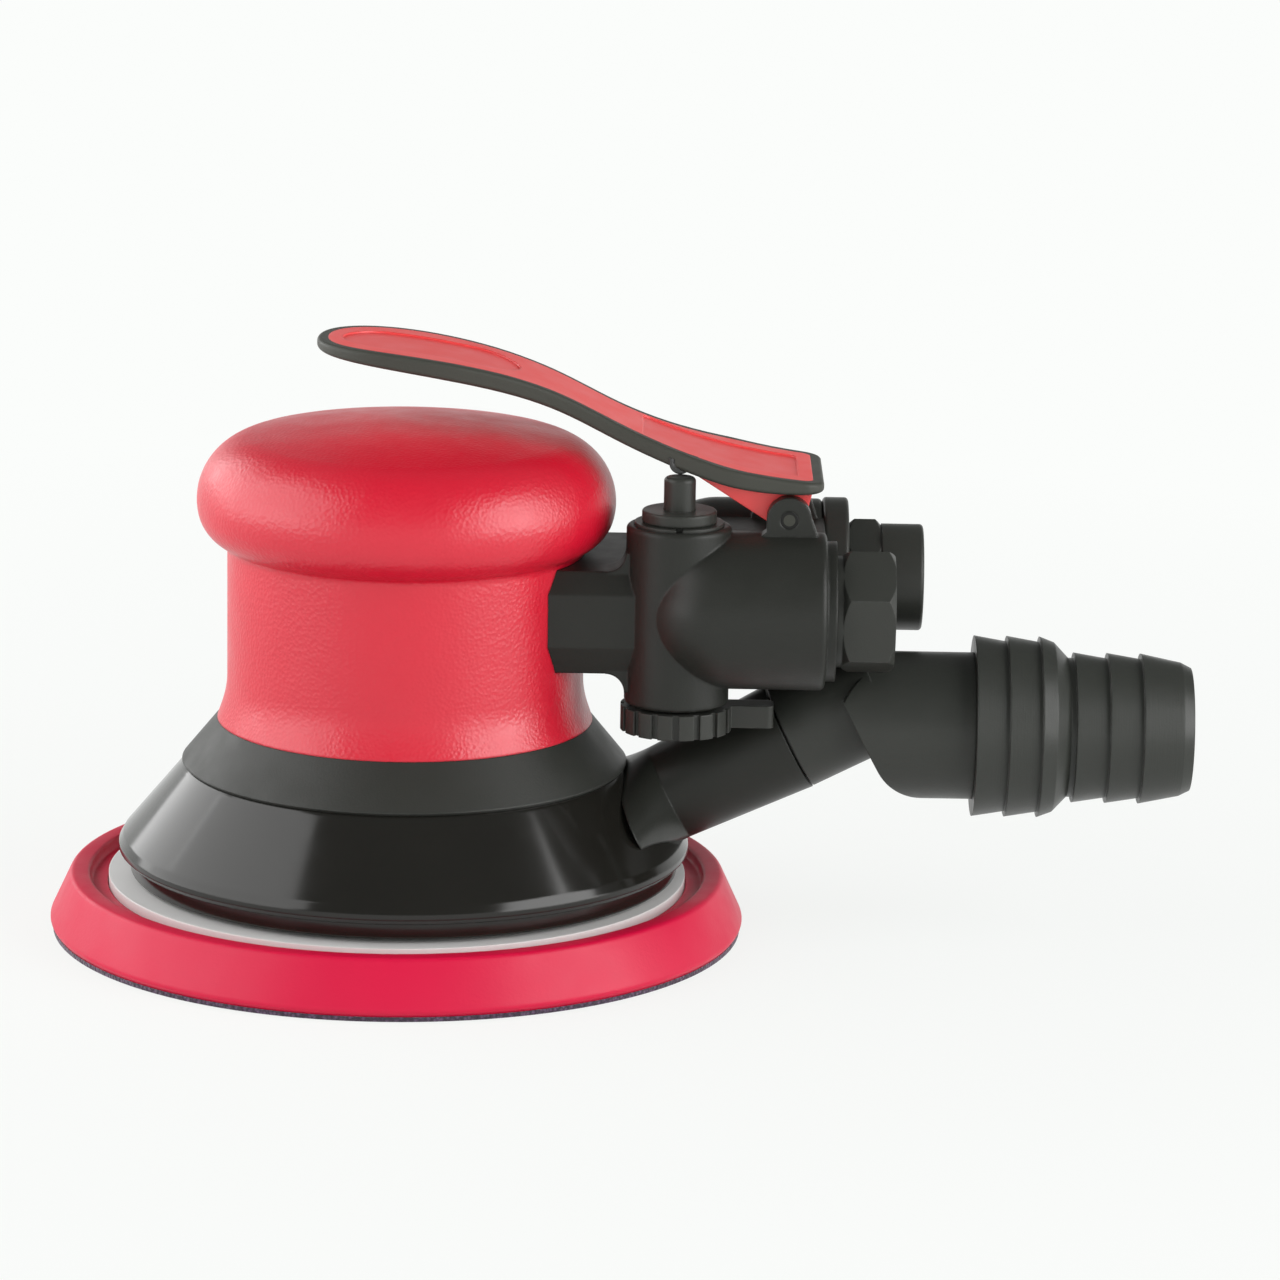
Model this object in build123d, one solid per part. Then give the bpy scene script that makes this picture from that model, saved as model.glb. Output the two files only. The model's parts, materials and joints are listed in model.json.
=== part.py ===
from build123d import *
import math
import os

# Air-driven random orbital palm sander with a vacuum shroud. Sizes in millimetres.
# Origin on the motor axis at the pad's working face, +Z up, +X toward the hose,
# -Y toward the side of the throttle stem.

# Fits
RUNNING = 0.06  # radial, a turning or sliding fit
SLIP = 0.1  # radial, pieces slid together once
LOOSE = 0.4  # between pieces that move past each other
BEARING_END_PLAY = 0.3  # rotor end face to end plate

# Ball bearings, as shares of the space between bore and rim
BALL_SHARE = 0.3  # ball radius
RACE_SHARE = 0.28  # ring thickness
CAGE_LIP = 0.8  # cage past the balls, in millimetres

# Sanding pad
PAD_R = 63.5
PAD_TOP_R = 59.6
PAD_EDGE_H = 1.6  # height of the pad's widest line above the hook face
FOAM_H = 9.6
FOAM_CORNER = 0.8
HOOK_INSET = 0.5
HOOK_T = 0.8
PLATE_R = 52.8
PLATE_T = 3.0
PLATE_SINK = 0.2  # plate top below the foam's top ring
PLATE_HUB_R = 13.0
PLATE_HUB_H = 1.2
BAND_W = 2.9  # recessed band between plate and foam
BAND_DEPTH = 2.0
VACUUM_HOLES = 8
VACUUM_HOLE_R = 4.75
VACUUM_CIRCLE_R = 32.5
STUD_R = 3.95
STUD_HEAD_R = 9.0
STUD_HEAD_T = 2.5
STUD_LENGTH = 14.0  # above the head

# Spindle and its two bearings
ORBIT = 1.2  # crank throw, half of the orbit's diameter
SPINDLE_HEX = 19.0
SPINDLE_HEX_H = 4.6
SPINDLE_SHOULDER_H = 1.9
SPINDLE_SHOULDER_R = 7.2
SPINDLE_BEARING_BORE_R = 6.0
SPINDLE_BEARING_R = 12.0
SPINDLE_BEARING_W = 6.0
SPINDLE_BEARINGS = 2
SPINDLE_SCREW_R = 2.0
SPINDLE_SCREW_LENGTH = 5.0
SPINDLE_SCREW_HEAD_R = 7.0
SPINDLE_SCREW_HEAD_H = 1.8

# Crank, balancer and shaft
BALANCER_WALL = 3.5
BALANCER_ROOF = 1.5
BALANCER_HEAD_ROOM = 0.6
BALANCER_FLANGE_GAP = 0.6
COUNTERWEIGHT_H = 9.8
COUNTERWEIGHT_HALF_ANGLE = 75.0
SHAFT_SHOULDER_R = 8.0
SHAFT_SHOULDER_H = 1.2
SHAFT_LOWER_R = 6.0
SHAFT_ROTOR_R = 5.5
SHAFT_UPPER_R = 4.0
SNAP_T = 1.0
SNAP_DEPTH = 0.6
SHAFT_END = 0.6  # shaft above its snap ring

# Motor
LOWER_BEARING_R = 14.0
LOWER_BEARING_W = 8.0
UPPER_BEARING_R = 11.0
UPPER_BEARING_W = 7.0
LOWER_PLATE_LIP = 0.4
UPPER_PLATE_LIP = 1.1
END_PLATE_T = 5.0
LOWER_BOSS_R = 18.0
UPPER_BOSS_R = 14.0
CYLINDER_R = 26.4
CYLINDER_H = 27.5
CYLINDER_BORE_R = 19.5
ROTOR_R = 17.0
ROTOR_GAP = 0.3  # rotor to bore at the sealing line
VANES = 5
VANE_T = 2.0
VANE_DEPTH = 9.6
VANE_TIP_IN = 0.1  # retracted vane below the rotor's skin
KEY_W = 2.0
KEY_LENGTH = 18.0
DOWEL_R = 1.5
DOWEL_CIRCLE_R = 23.7
DOWEL_ANGLE = 135.0
AIR_PORT_R = 3.5
EXHAUST_PORT_R = 4.5

# Housing cup
HOUSING_WALL = 2.9
HOUSING_TOP_WALL = 2.6
HOUSING_TOP_ROUND = 5.0
HOUSING_SHOULDER_R = 20.0
HOUSING_HEAD_ROOM = 0.8
HOUSING_SKIRT = 4.6  # cup below the lower end plate's disc

# Palm grip
GRIP_WAIST_R = 32.4
GRIP_BASE_R = 34.2
GRIP_BASE_H = 8.0
GRIP_FLARE = 0.35  # slope of the base's foot
GRIP_DOME_R = 37.6
GRIP_CAP_T = 10.0  # dome top above the housing
DOME_EDGE_DROP = 22.6  # crease under the dome, below the top
DOME_WIDE_DROP = 17.1  # widest line, below the top
DOME_SHOULDER_R = 28.5
DOME_SHOULDER_DROP = 2.9
GRIP_ROUND = 1.5

# Lock ring and shroud
LOCK_TOP_R = 34.2
LOCK_BASE_R = 40.6
LOCK_H = 8.3
LOCK_WEB = 3.0
LOCK_SLEEVE_WALL = 3.8
LOCK_EDGE = 0.5
SPIGOT_R = 31.4
SPIGOT_WALL = 3.0
SHROUD_R = 52.1
SHROUD_WALL = 2.0
SHROUD_CONE_H = 14.3
SHROUD_LIP_R = 50.0
SHROUD_LIP_W = 1.8
SHROUD_GAP = 1.0  # lip above the backing plate
SEAL_W = 2.6
SEAL_H = 3.6
SEAL_GAP = 0.5
RETAINER_T = 1.2
RETAINER_DEPTH = 0.8
RETAINER_W = 2.0

# Arm and valve block
ARM_DROP = 7.8  # inlet axis below the cylinder's top
NECK_HALF_W = 19.0
NECK_EDGE_HALF_W = 16.9
NECK_TOP = 7.3  # above the inlet axis
NECK_BOTTOM = 11.4
NECK_CHAMFER_TOP = 4.0
NECK_CHAMFER_BOTTOM = 5.2
INLET_Y = -13.6
EXHAUST_Y = 16.2
BARREL_R = 14.2
BARREL_START_X = 56.8
BARREL_END_X = 75.8
BARREL_STEP_R = 12.6
BARREL_STEP_L = 1.8
BARREL_ROUND = 1.0
BRIDGE_TOP = 12.2  # web between the barrels, above the inlet axis
BRIDGE_BOTTOM = 8.0
BLOCK_ROUND = 0.8
STEM_X = 49.3
CHAMBER_R = 9.4
CHAMBER_TOP = 15.5  # above the inlet axis
CHAMBER_BOTTOM = 17.1  # below the inlet axis
CHAMBER_BORE_R = 6.0
RIB_T = 7.0  # web between neck and chamber
RIB_HOLLOW_R = 3.4
INLET_BORE_R = 8.0
EXHAUST_BORE_R = 9.5
TRANSFER_DROP = 9.5  # air passages to the motor, below the inlet axis
TRANSFER_Y = 13.0  # and to each side of the arm's middle
TRANSFER_R = 5.0

# Throttle valve
SEAT_X = 58.5
SEAT_T = 2.0
SEAT_HOLE_R = 4.6
TIP_DISC_R = 6.4
TIP_DISC_T = 2.5
TIP_STEM_R = 1.5
TIP_STEM_L = 13.0
TIP_BOSS_R = 2.4
TIP_BOSS_L = 2.0
SPRING_WIRE_R = 0.4
SPRING_R = 4.0
SPRING_TURNS = 5
STEM_R = 2.85
STEM_TOP = 24.2  # above the inlet axis
STEM_ROUND = 0.8
STEM_FOOT_R = 1.5
STEM_COLLAR_R = 4.0
STEM_COLLAR_H = 2.0
STEM_LIFT = 0.5  # collar below its stop
BUSH_R = 6.7
BUSH_L = 10.0
BUSH_HEAD_H = 2.2
BUSH_POCKET_L = 6.0
BUSH_RING_R = 8.0
BUSH_RING_T = 1.0
BUSH_RING_SPLIT = 1.2
O_RING_R = 0.6

# Speed regulator
KNOB_R = 10.0
KNOB_H = 4.5
KNOB_GROOVES = 16
KNOB_GROOVE_W = 1.2
KNOB_GROOVE_DEPTH = 0.7
TAB_REACH = 17.6
TAB_FRONT = 1.0  # tab's edges from the knob's middle
TAB_BACK = 4.0
TAB_H = 4.1
TAB_ROUND = 1.2
SPOOL_WALL = 1.5
SPOOL_TOP = 5.6  # below the inlet axis
SPOOL_FLOOR = 4.0
SPOOL_RING_T = 1.0
SPOOL_RING_DEPTH = 0.7

# Air fittings
INLET_HEX = 20.0
INLET_HEX_L = 9.3
INLET_HEX_TURN = 8.0
INLET_NECK_R = 10.0
INLET_NECK_L = 1.2
INLET_THREAD_L = 5.6
INLET_PORT_R = 5.56
INLET_PORT_L = 13.4
INLET_LOWER_R = 4.2
SCREEN_R = 6.0
SCREEN_T = 0.6
SCREEN_GAP = 1.0  # screen below the port
SCREEN_HOLE_R = 0.55
SCREEN_PITCH = 1.7
MUFFLER_FLANGE_R = 14.5
MUFFLER_FLANGE_L = 4.7
MUFFLER_HEX = 18.7
MUFFLER_HEX_L = 6.2
MUFFLER_END_R = 9.8
MUFFLER_END_L = 7.7
MUFFLER_THREAD_L = 8.0
MUFFLER_WALL = 2.2
MUFFLER_VENTS = 6
MUFFLER_VENT_R = 1.3
FELT_WALL = 3.2
FITTING_ROUND = 0.7
NUT_BEVEL = 1.4  # corners of the hexagons turned off
NUT_BEVEL_L = 1.2

# Throttle lever, placed from its pivot
PIVOT_X = 68.9
PIVOT_RISE = 17.0  # pivot above the inlet axis
PIN_R = 1.6
LUG_R = 4.0
LUG_T = 3.4
LUG_FLARE = 2.2
HUB_R = 3.0
HUB_FRONT_Y = -12.2
HUB_BACK_Y = 8.0
LEVER_T = 3.1
LEVER_END_T = 1.8
LEVER_RIM_W = 2.0
LEVER_TIP_REACH = 85.2
LEVER_TIP_RISE = 29.2
LEVER_END_REACH = 6.2
LEVER_END_RISE = 6.3
LEVER_CORNER = 4.0
LEVER_EDGE = 0.7
LEVER_PADDLE_HALF_W = 14.8
LEVER_WAIST_HALF_W = 11.6
LEVER_HEEL_HALF_W = 15.7
LEVER_PANEL_DEPTH = 0.35
LEVER_PANEL_MARGIN = 2.6
PADDLE_PANEL_L = 32.0
PADDLE_PANEL_W = 17.0
HEEL_PANEL_L = 28.0
HEEL_PANEL_CORNER = 1.5
GUSSET_REACH = 18.5
GUSSET_RISE = 8.3
NOSE_R = 2.0
NOSE_L = 5.0

# Vacuum outlet, swivel elbow and hose nozzle
OUTLET_TILT = 27.0
SEAM_X = 70.1
SEAM_Z = 36.6
OUTLET_R = 10.2
OUTLET_NECK_R = 9.0
OUTLET_NECK_BACK = 24.0  # round neck behind the seam
OUTLET_ROOT_BACK = 31.0  # funnel root behind the seam
OUTLET_ROOT_HALF_W = 23.0
OUTLET_ROOT_HALF_H = 8.2
OUTLET_WALL = 1.9
SWIVEL_BORE_R = 8.1
SWIVEL_SOCKET_L = 8.0
SWIVEL_SPIGOT_WALL = 1.3
SWIVEL_TUBE_R = 10.1
ELBOW_R = 13.4
ELBOW_Z = 39.1
ELBOW_END_X = 103.6
ELBOW_FACE_FORWARD = 12.6  # elbow's slanted face ahead of the seam
ELBOW_BROW_RISE = 6.6  # brow's start above the elbow's axis
ELBOW_BROW_L = 11.4
ELBOW_RUN_IN = 6.0  # outlet tube and bore run into the elbow
ELBOW_BORE_R = 11.3
NOZZLE_SPIGOT_L = 8.0
NOZZLE_BORE_R = 9.6
BIG_BARB_R = 16.5
BIG_BARB_PITCH = 5.95
SMALL_BARB_R = 13.7
SMALL_BARB_PITCH = 6.1
BARBS = 3
BARB_TAPER = 1.0
NOZZLE_CONE_L = 5.3
NOZZLE_LAND_L = 1.0
NOZZLE_TAIL_L = 7.3
NOZZLE_TAIL_TAPER = 1.5
NOZZLE_LIP_L = 1.9

# Heights of the stack, from the working face up
foam_top = HOOK_T + FOAM_H
plate_top = foam_top - PLATE_SINK
plate_bottom = plate_top - PLATE_T
spindle_bottom = plate_top + PLATE_HUB_H
spindle_hex_top = spindle_bottom + SPINDLE_HEX_H
spindle_bearing_z = spindle_hex_top + SPINDLE_SHOULDER_H
spindle_top = spindle_bearing_z + SPINDLE_BEARINGS * SPINDLE_BEARING_W
balancer_bottom = spindle_hex_top + BALANCER_FLANGE_GAP
balancer_bore_top = spindle_top + SPINDLE_SCREW_HEAD_H + BALANCER_HEAD_ROOM
balancer_top = balancer_bore_top + BALANCER_ROOF
lower_bearing_z = balancer_top + SHAFT_SHOULDER_H
cylinder_z = lower_bearing_z + LOWER_BEARING_W + LOWER_PLATE_LIP
cylinder_top = cylinder_z + CYLINDER_H
upper_bearing_z = cylinder_top + UPPER_PLATE_LIP
shaft_snap_z = upper_bearing_z + UPPER_BEARING_W
shaft_top = shaft_snap_z + SNAP_T + SHAFT_END
stack_bottom = cylinder_z - END_PLATE_T
stack_top = cylinder_top + END_PLATE_T
housing_bottom = stack_bottom - HOUSING_SKIRT
housing_bore_r = CYLINDER_R + SLIP
housing_r = housing_bore_r + HOUSING_WALL
housing_cavity_top = shaft_top + HOUSING_HEAD_ROOM
housing_top = housing_cavity_top + HOUSING_TOP_WALL
grip_top = housing_top + GRIP_CAP_T
lock_bottom = housing_bottom - LOCK_WEB
lock_top = lock_bottom + LOCK_H
shroud_lip_bottom = plate_top + SHROUD_GAP
shroud_edge_z = lock_bottom - SHROUD_CONE_H
counterweight_r = SPIGOT_R - SPIGOT_WALL - LOOSE
bore_x = -(CYLINDER_BORE_R - ROTOR_R - ROTOR_GAP)
arm_z = cylinder_top - ARM_DROP
chamber_top = arm_z + CHAMBER_TOP
chamber_bottom = arm_z - CHAMBER_BOTTOM
transfer_z = arm_z - TRANSFER_DROP
stem_ring_z = chamber_top - BUSH_L + BUSH_POCKET_L / 2
spool_ring_z = chamber_bottom + 2 * SPOOL_RING_T + 2 * O_RING_R
pivot_z = arm_z + PIVOT_RISE
stem_top = arm_z + STEM_TOP
tip_disc_x = SEAT_X + SEAT_T
block_end_x = BARREL_END_X + BARREL_STEP_L
tilt = math.radians(OUTLET_TILT)
vane_angles = [(k + 0.5) * 360 / VANES for k in range(VANES)]


# Plain shapes
def rod(r, z0, z1, x=0, y=0):
    return Pos(x, y, z0) * Cylinder(r, z1 - z0, align=(Align.CENTER, Align.CENTER, Align.MIN))


def tube(r_out, r_in, z0, z1, x=0, y=0):
    return rod(r_out, z0, z1, x, y) - rod(r_in, z0, z1, x, y)


def rod_x(r, x0, x1, y, z):
    return Pos(x0, y, z) * Rot(0, 90, 0) * rod(r, 0, x1 - x0)


def rod_y(r, y0, y1, x, z):
    return Pos(x, y0, z) * Rot(-90, 0, 0) * rod(r, 0, y1 - y0)


def block(x0, x1, y0, y1, z0, z1):
    return Pos(x0, y0, z0) * Box(x1 - x0, y1 - y0, z1 - z0, align=(Align.MIN, Align.MIN, Align.MIN))


def hex_x(across, x0, x1, y, z, turn=0):
    side = RegularPolygon(across / 2, 6, major_radius=False, rotation=turn)
    return Pos(x0, y, z) * Rot(0, 90, 0) * extrude(side, x1 - x0)


def o_ring(r):
    # Ring lying just under a cylinder's skin
    return Torus(r - O_RING_R, O_RING_R - SLIP)


def o_ring_groove(r):
    floor = r - 2 * O_RING_R + SLIP
    height = 2 * O_RING_R + SLIP
    return Pos(0, 0, -height / 2) * tube(r + O_RING_R, floor, 0, height)


def spun(points):
    return revolve(Plane.XZ * make_face(Polyline(*points, close=True)), Axis.Z)


def spun_x(points, y, z):
    outline = Plane.XY * make_face(Polyline(*points, close=True))
    return Pos(0, y, z) * revolve(outline, Axis.X)


def nut_x(across, x0, x1, y, z, turn=0):
    # Hexagon with its corners turned off at both ends
    corner = across / 2 / math.cos(math.pi / 6)
    outline = [
        (x0, 0),
        (x0, corner - NUT_BEVEL),
        (x0 + NUT_BEVEL_L, corner),
        (x1 - NUT_BEVEL_L, corner),
        (x1, corner - NUT_BEVEL),
        (x1, 0),
    ]
    return hex_x(across, x0, x1, y, z, turn) & spun_x(outline, y, z)


def tilted(back):
    # Plane square to the outlet's axis, a distance behind the seam
    origin = (SEAM_X - back * math.cos(tilt), 0, SEAM_Z - back * math.sin(tilt))
    return Plane(origin=origin, x_dir=(0, 1, 0), z_dir=(math.cos(tilt), 0, math.sin(tilt)))


def tilted_rod(r, back, forward):
    return extrude(tilted(back) * Circle(r), back + forward)


def ring_of(shape, count, radius):
    return [Rot(0, 0, 360 * k / count) * Pos(radius, 0, 0) * shape for k in range(count)]


# Ball bearings: outer ring, inner ring, balls in their cage
def bearing(bore_r, outer_r, width, z0, balls, x=0):
    pitch_r = (bore_r + outer_r) / 2
    ball_r = BALL_SHARE * (outer_r - bore_r)
    ring_t = RACE_SHARE * (outer_r - bore_r)
    middle = z0 + width / 2
    race = Pos(x, 0, middle) * Torus(pitch_r, ball_r + RUNNING)
    outer = tube(outer_r, outer_r - ring_t, z0, z0 + width, x) - race
    inner = tube(bore_r + ring_t, bore_r, z0, z0 + width, x) - race
    cage_half_t = (pitch_r - bore_r - ring_t) / 2
    cage_z = middle - ball_r - CAGE_LIP
    cage_top = middle + ball_r + CAGE_LIP
    cage = tube(pitch_r + cage_half_t, pitch_r - cage_half_t, cage_z, cage_top, x)
    centre = Pos(x, 0, middle)
    pocket = Rot(0, 90, 0) * Cylinder(ball_r + SLIP, outer_r - bore_r)
    cage -= [centre * hole for hole in ring_of(pocket, balls, pitch_r)]
    rolling = [centre * ball for ball in ring_of(Sphere(ball_r), balls, pitch_r)]
    return outer, inner, rolling + [cage]


# Sanding pad
def vacuum_holes(z0, z1):
    holes = ring_of(rod(VACUUM_HOLE_R, z0, z1), VACUUM_HOLES, VACUUM_CIRCLE_R)
    return [Pos(-ORBIT, 0, 0) * hole for hole in holes]


def hook_face():
    return rod(PAD_R - HOOK_INSET, 0, HOOK_T, -ORBIT) - vacuum_holes(0, HOOK_T)


def pad_foam():
    band_r = PLATE_R + BAND_W
    outline = [
        (0, HOOK_T),
        (PAD_R - HOOK_INSET, HOOK_T),
        (PAD_R, HOOK_T + PAD_EDGE_H / 2),
        (PAD_R, HOOK_T + PAD_EDGE_H),
        (PAD_TOP_R, foam_top),
        (band_r, foam_top),
        (band_r, foam_top - BAND_DEPTH),
        (PLATE_R + SLIP, foam_top - BAND_DEPTH),
        (PLATE_R + SLIP, plate_bottom),
        (0, plate_bottom),
    ]
    foam = spun(outline)
    crown = foam.edges().filter_by(GeomType.CIRCLE).group_by(Axis.Z)[-1]
    foam = fillet(crown.sort_by(SortBy.RADIUS)[-1], FOAM_CORNER)
    return Pos(-ORBIT, 0, 0) * foam - vacuum_holes(HOOK_T, foam_top)


def backing_plate():
    plate = rod(PLATE_R, plate_bottom, plate_top) + rod(PLATE_HUB_R, plate_top, spindle_bottom)
    plate -= rod(STUD_HEAD_R, plate_bottom, plate_bottom + STUD_HEAD_T)
    plate -= rod(STUD_R, plate_bottom, spindle_bottom)
    return Pos(-ORBIT, 0, 0) * plate - vacuum_holes(plate_bottom, plate_top)


def pad_stud():
    head_top = plate_bottom + STUD_HEAD_T
    stud = rod(STUD_HEAD_R, plate_bottom, head_top) + rod(STUD_R, head_top, head_top + STUD_LENGTH)
    return Pos(-ORBIT, 0, 0) * stud


# Spindle, crank and shaft
def spindle():
    side = RegularPolygon(SPINDLE_HEX / 2, 6, major_radius=False)
    body = Pos(0, 0, spindle_bottom) * extrude(side, SPINDLE_HEX_H)
    body += rod(SPINDLE_SHOULDER_R, spindle_hex_top, spindle_bearing_z)
    body += rod(SPINDLE_BEARING_BORE_R, spindle_bearing_z, spindle_top)
    thread_top = plate_bottom + STUD_HEAD_T + STUD_LENGTH + SLIP
    body -= rod(STUD_R + SLIP, spindle_bottom, thread_top)
    body -= rod(SPINDLE_SCREW_R, spindle_top - SPINDLE_SCREW_LENGTH, spindle_top)
    return Pos(-ORBIT, 0, 0) * body


def spindle_screw():
    shank = rod(SPINDLE_SCREW_R, spindle_top - SPINDLE_SCREW_LENGTH, spindle_top)
    head = rod(SPINDLE_SCREW_HEAD_R, spindle_top, spindle_top + SPINDLE_SCREW_HEAD_H)
    socket = Pos(0, 0, spindle_top) * extrude(RegularPolygon(SPINDLE_SCREW_R, 6), SPINDLE_SCREW_HEAD_H)
    return Pos(-ORBIT, 0, 0) * (shank + head - socket)


def spindle_snap_ring():
    z0 = spindle_bearing_z - SNAP_T
    ring = tube(SPINDLE_BEARING_R + SNAP_DEPTH, SPINDLE_BEARING_R - 2 * SNAP_DEPTH, z0, spindle_bearing_z)
    gap = block(0, SPINDLE_BEARING_R * 2, -VANE_T, VANE_T, z0, spindle_bearing_z)
    return Pos(-ORBIT, 0, 0) * (ring - gap)


def shaft_balancer():
    hub_r = SPINDLE_BEARING_R + BALANCER_WALL
    weight = rod(counterweight_r, balancer_bottom, balancer_bottom + COUNTERWEIGHT_H)
    side = counterweight_r * 2
    cut_x = side * math.cos(math.radians(COUNTERWEIGHT_HALF_ANGLE))
    wedge = [(0, 0), (cut_x, -side), (side, -side), (side, side), (cut_x, side)]
    sector = extrude(make_face(Polyline(*wedge, close=True)), balancer_bottom + COUNTERWEIGHT_H)
    body = weight & sector
    body += rod(hub_r, balancer_bottom, balancer_top, -ORBIT)
    body += rod(SHAFT_SHOULDER_R, balancer_top, lower_bearing_z)
    body += rod(SHAFT_LOWER_R, lower_bearing_z, cylinder_z)
    body += rod(SHAFT_ROTOR_R, cylinder_z, upper_bearing_z)
    body += rod(SHAFT_UPPER_R, upper_bearing_z, shaft_top)
    body -= rod(SPINDLE_BEARING_R, balancer_bottom, balancer_bore_top, -ORBIT)
    groove_z = spindle_bearing_z - SNAP_T
    body -= rod(SPINDLE_BEARING_R + SNAP_DEPTH, groove_z, spindle_bearing_z, -ORBIT)
    body -= tube(SHAFT_UPPER_R * 2, SHAFT_UPPER_R - SNAP_DEPTH, shaft_snap_z, shaft_snap_z + SNAP_T)
    return body - key_shape()


def key_shape():
    middle = (cylinder_z + cylinder_top) / 2
    return Pos(SHAFT_ROTOR_R, 0, middle) * Box(KEY_W, KEY_W, KEY_LENGTH)


def shaft_snap_ring():
    inner = SHAFT_UPPER_R - SNAP_DEPTH
    ring = tube(SHAFT_UPPER_R + 2 * SNAP_DEPTH, inner, shaft_snap_z, shaft_snap_z + SNAP_T)
    return ring - block(0, SHAFT_UPPER_R * 2, -SNAP_T, SNAP_T, shaft_snap_z, shaft_snap_z + SNAP_T)


# Vane motor
def rotor():
    z0 = cylinder_z + BEARING_END_PLAY
    z1 = cylinder_top - BEARING_END_PLAY
    body = rod(ROTOR_R, z0, z1) - rod(SHAFT_ROTOR_R, z0, z1)
    slot_in = ROTOR_R - VANE_TIP_IN - VANE_DEPTH - LOOSE
    slot = block(slot_in, ROTOR_R * 2, -VANE_T / 2 - SLIP, VANE_T / 2 + SLIP, z0, z1)
    return body - [Rot(0, 0, angle) * slot for angle in vane_angles] - key_shape()


def vane(angle):
    z0 = cylinder_z + BEARING_END_PLAY
    z1 = cylinder_top - BEARING_END_PLAY
    tip = ROTOR_R - VANE_TIP_IN
    return Rot(0, 0, angle) * block(tip - VANE_DEPTH, tip, -VANE_T / 2, VANE_T / 2, z0, z1)


def dowel_shape(r):
    angle = math.radians(DOWEL_ANGLE)
    x = DOWEL_CIRCLE_R * math.cos(angle)
    y = DOWEL_CIRCLE_R * math.sin(angle)
    return rod(r, stack_bottom, stack_top, x, y)


def motor_cylinder():
    body = rod(CYLINDER_R, cylinder_z, cylinder_top)
    body -= rod(CYLINDER_BORE_R, cylinder_z, cylinder_top, bore_x)
    body -= rod_x(AIR_PORT_R, 0, CYLINDER_R, -TRANSFER_Y, transfer_z)
    body -= rod_x(EXHAUST_PORT_R, 0, CYLINDER_R, TRANSFER_Y, transfer_z)
    return body - dowel_shape(DOWEL_R)


def lower_end_plate():
    body = rod(CYLINDER_R, stack_bottom, cylinder_z) + rod(LOWER_BOSS_R, lower_bearing_z, stack_bottom)
    body -= rod(LOWER_BEARING_R, lower_bearing_z, lower_bearing_z + LOWER_BEARING_W)
    body -= rod(SHAFT_LOWER_R + 3 * LOOSE, lower_bearing_z, cylinder_z)
    return body - dowel_shape(DOWEL_R)


def upper_end_plate():
    boss_top = upper_bearing_z + UPPER_BEARING_W
    body = rod(CYLINDER_R, cylinder_top, stack_top) + rod(UPPER_BOSS_R, stack_top, boss_top)
    body -= rod(UPPER_BEARING_R, upper_bearing_z, boss_top)
    body -= rod(SHAFT_ROTOR_R + 2 * LOOSE, cylinder_top, boss_top)
    return body - dowel_shape(DOWEL_R)


# Housing, with arm and valve block
def neck_shape(x0, x1, grow=0.0):
    half = NECK_HALF_W + grow
    edge = NECK_EDGE_HALF_W + grow
    top = arm_z + NECK_TOP + grow
    bottom = arm_z - NECK_BOTTOM - grow
    upper = top - NECK_CHAMFER_TOP
    lower = bottom + NECK_CHAMFER_BOTTOM
    right = [(edge, bottom), (half, lower), (half, upper), (edge, top)]
    left = [(-y, z) for y, z in reversed(right)]
    section = Plane.YZ * make_face(Polyline(*right, *left, close=True))
    return Pos(x0, 0, 0) * extrude(section, x1 - x0)


def barrel(y):
    start = Pos(BARREL_START_X, y, arm_z) * Sphere(BARREL_R)
    body = rod_x(BARREL_R, BARREL_START_X, BARREL_END_X, y, arm_z)
    end = body.edges().filter_by(GeomType.CIRCLE).sort_by(Axis.X)[-1]
    return start + fillet(end, BARREL_ROUND)


def lug(y0, y1):
    # Eye on the barrel, sloping down toward the barrel's end
    eye = rod_y(LUG_R, y0, y1, PIVOT_X, pivot_z)
    side = [
        (PIVOT_X - LUG_R - LUG_FLARE, arm_z),
        (PIVOT_X - LUG_R - LUG_FLARE, pivot_z - LUG_R),
        (PIVOT_X - LUG_R, pivot_z - LUG_FLARE),
        (PIVOT_X - LUG_R, pivot_z),
        (PIVOT_X + 0.8 * LUG_R, pivot_z + 0.6 * LUG_R),
        (BARREL_END_X - BARREL_ROUND, arm_z + BARREL_R - 2 * BARREL_ROUND),
        (BARREL_END_X - BARREL_ROUND, arm_z),
    ]
    web = Plane.XZ * make_face(Polyline(*side, close=True))
    return eye + Pos(0, y1, 0) * extrude(web, y1 - y0)


def neck_rib():
    # Web from the neck to the chamber, hollowed out round above and below
    root_x = STEM_X - CHAMBER_R
    top = arm_z + NECK_TOP
    bottom = arm_z - NECK_BOTTOM
    middle = RIB_HOLLOW_R * (1 - math.sqrt(0.5))
    start_x = root_x - RIB_HOLLOW_R
    lower = ThreePointArc(
        (start_x, bottom), (root_x - middle, bottom - middle), (root_x, bottom - RIB_HOLLOW_R))
    upper = ThreePointArc((start_x, top), (root_x - middle, top + middle), (root_x, top + RIB_HOLLOW_R))
    foot = (STEM_X, bottom - RIB_HOLLOW_R)
    head = (STEM_X, top + RIB_HOLLOW_R)
    sides = [lower, upper, Polyline(lower @ 1, foot, head, upper @ 1), Line(upper @ 0, lower @ 0)]
    web = Plane.XZ * make_face(sides)
    return Pos(0, INLET_Y + RIB_T / 2, 0) * extrude(web, RIB_T)


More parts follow.
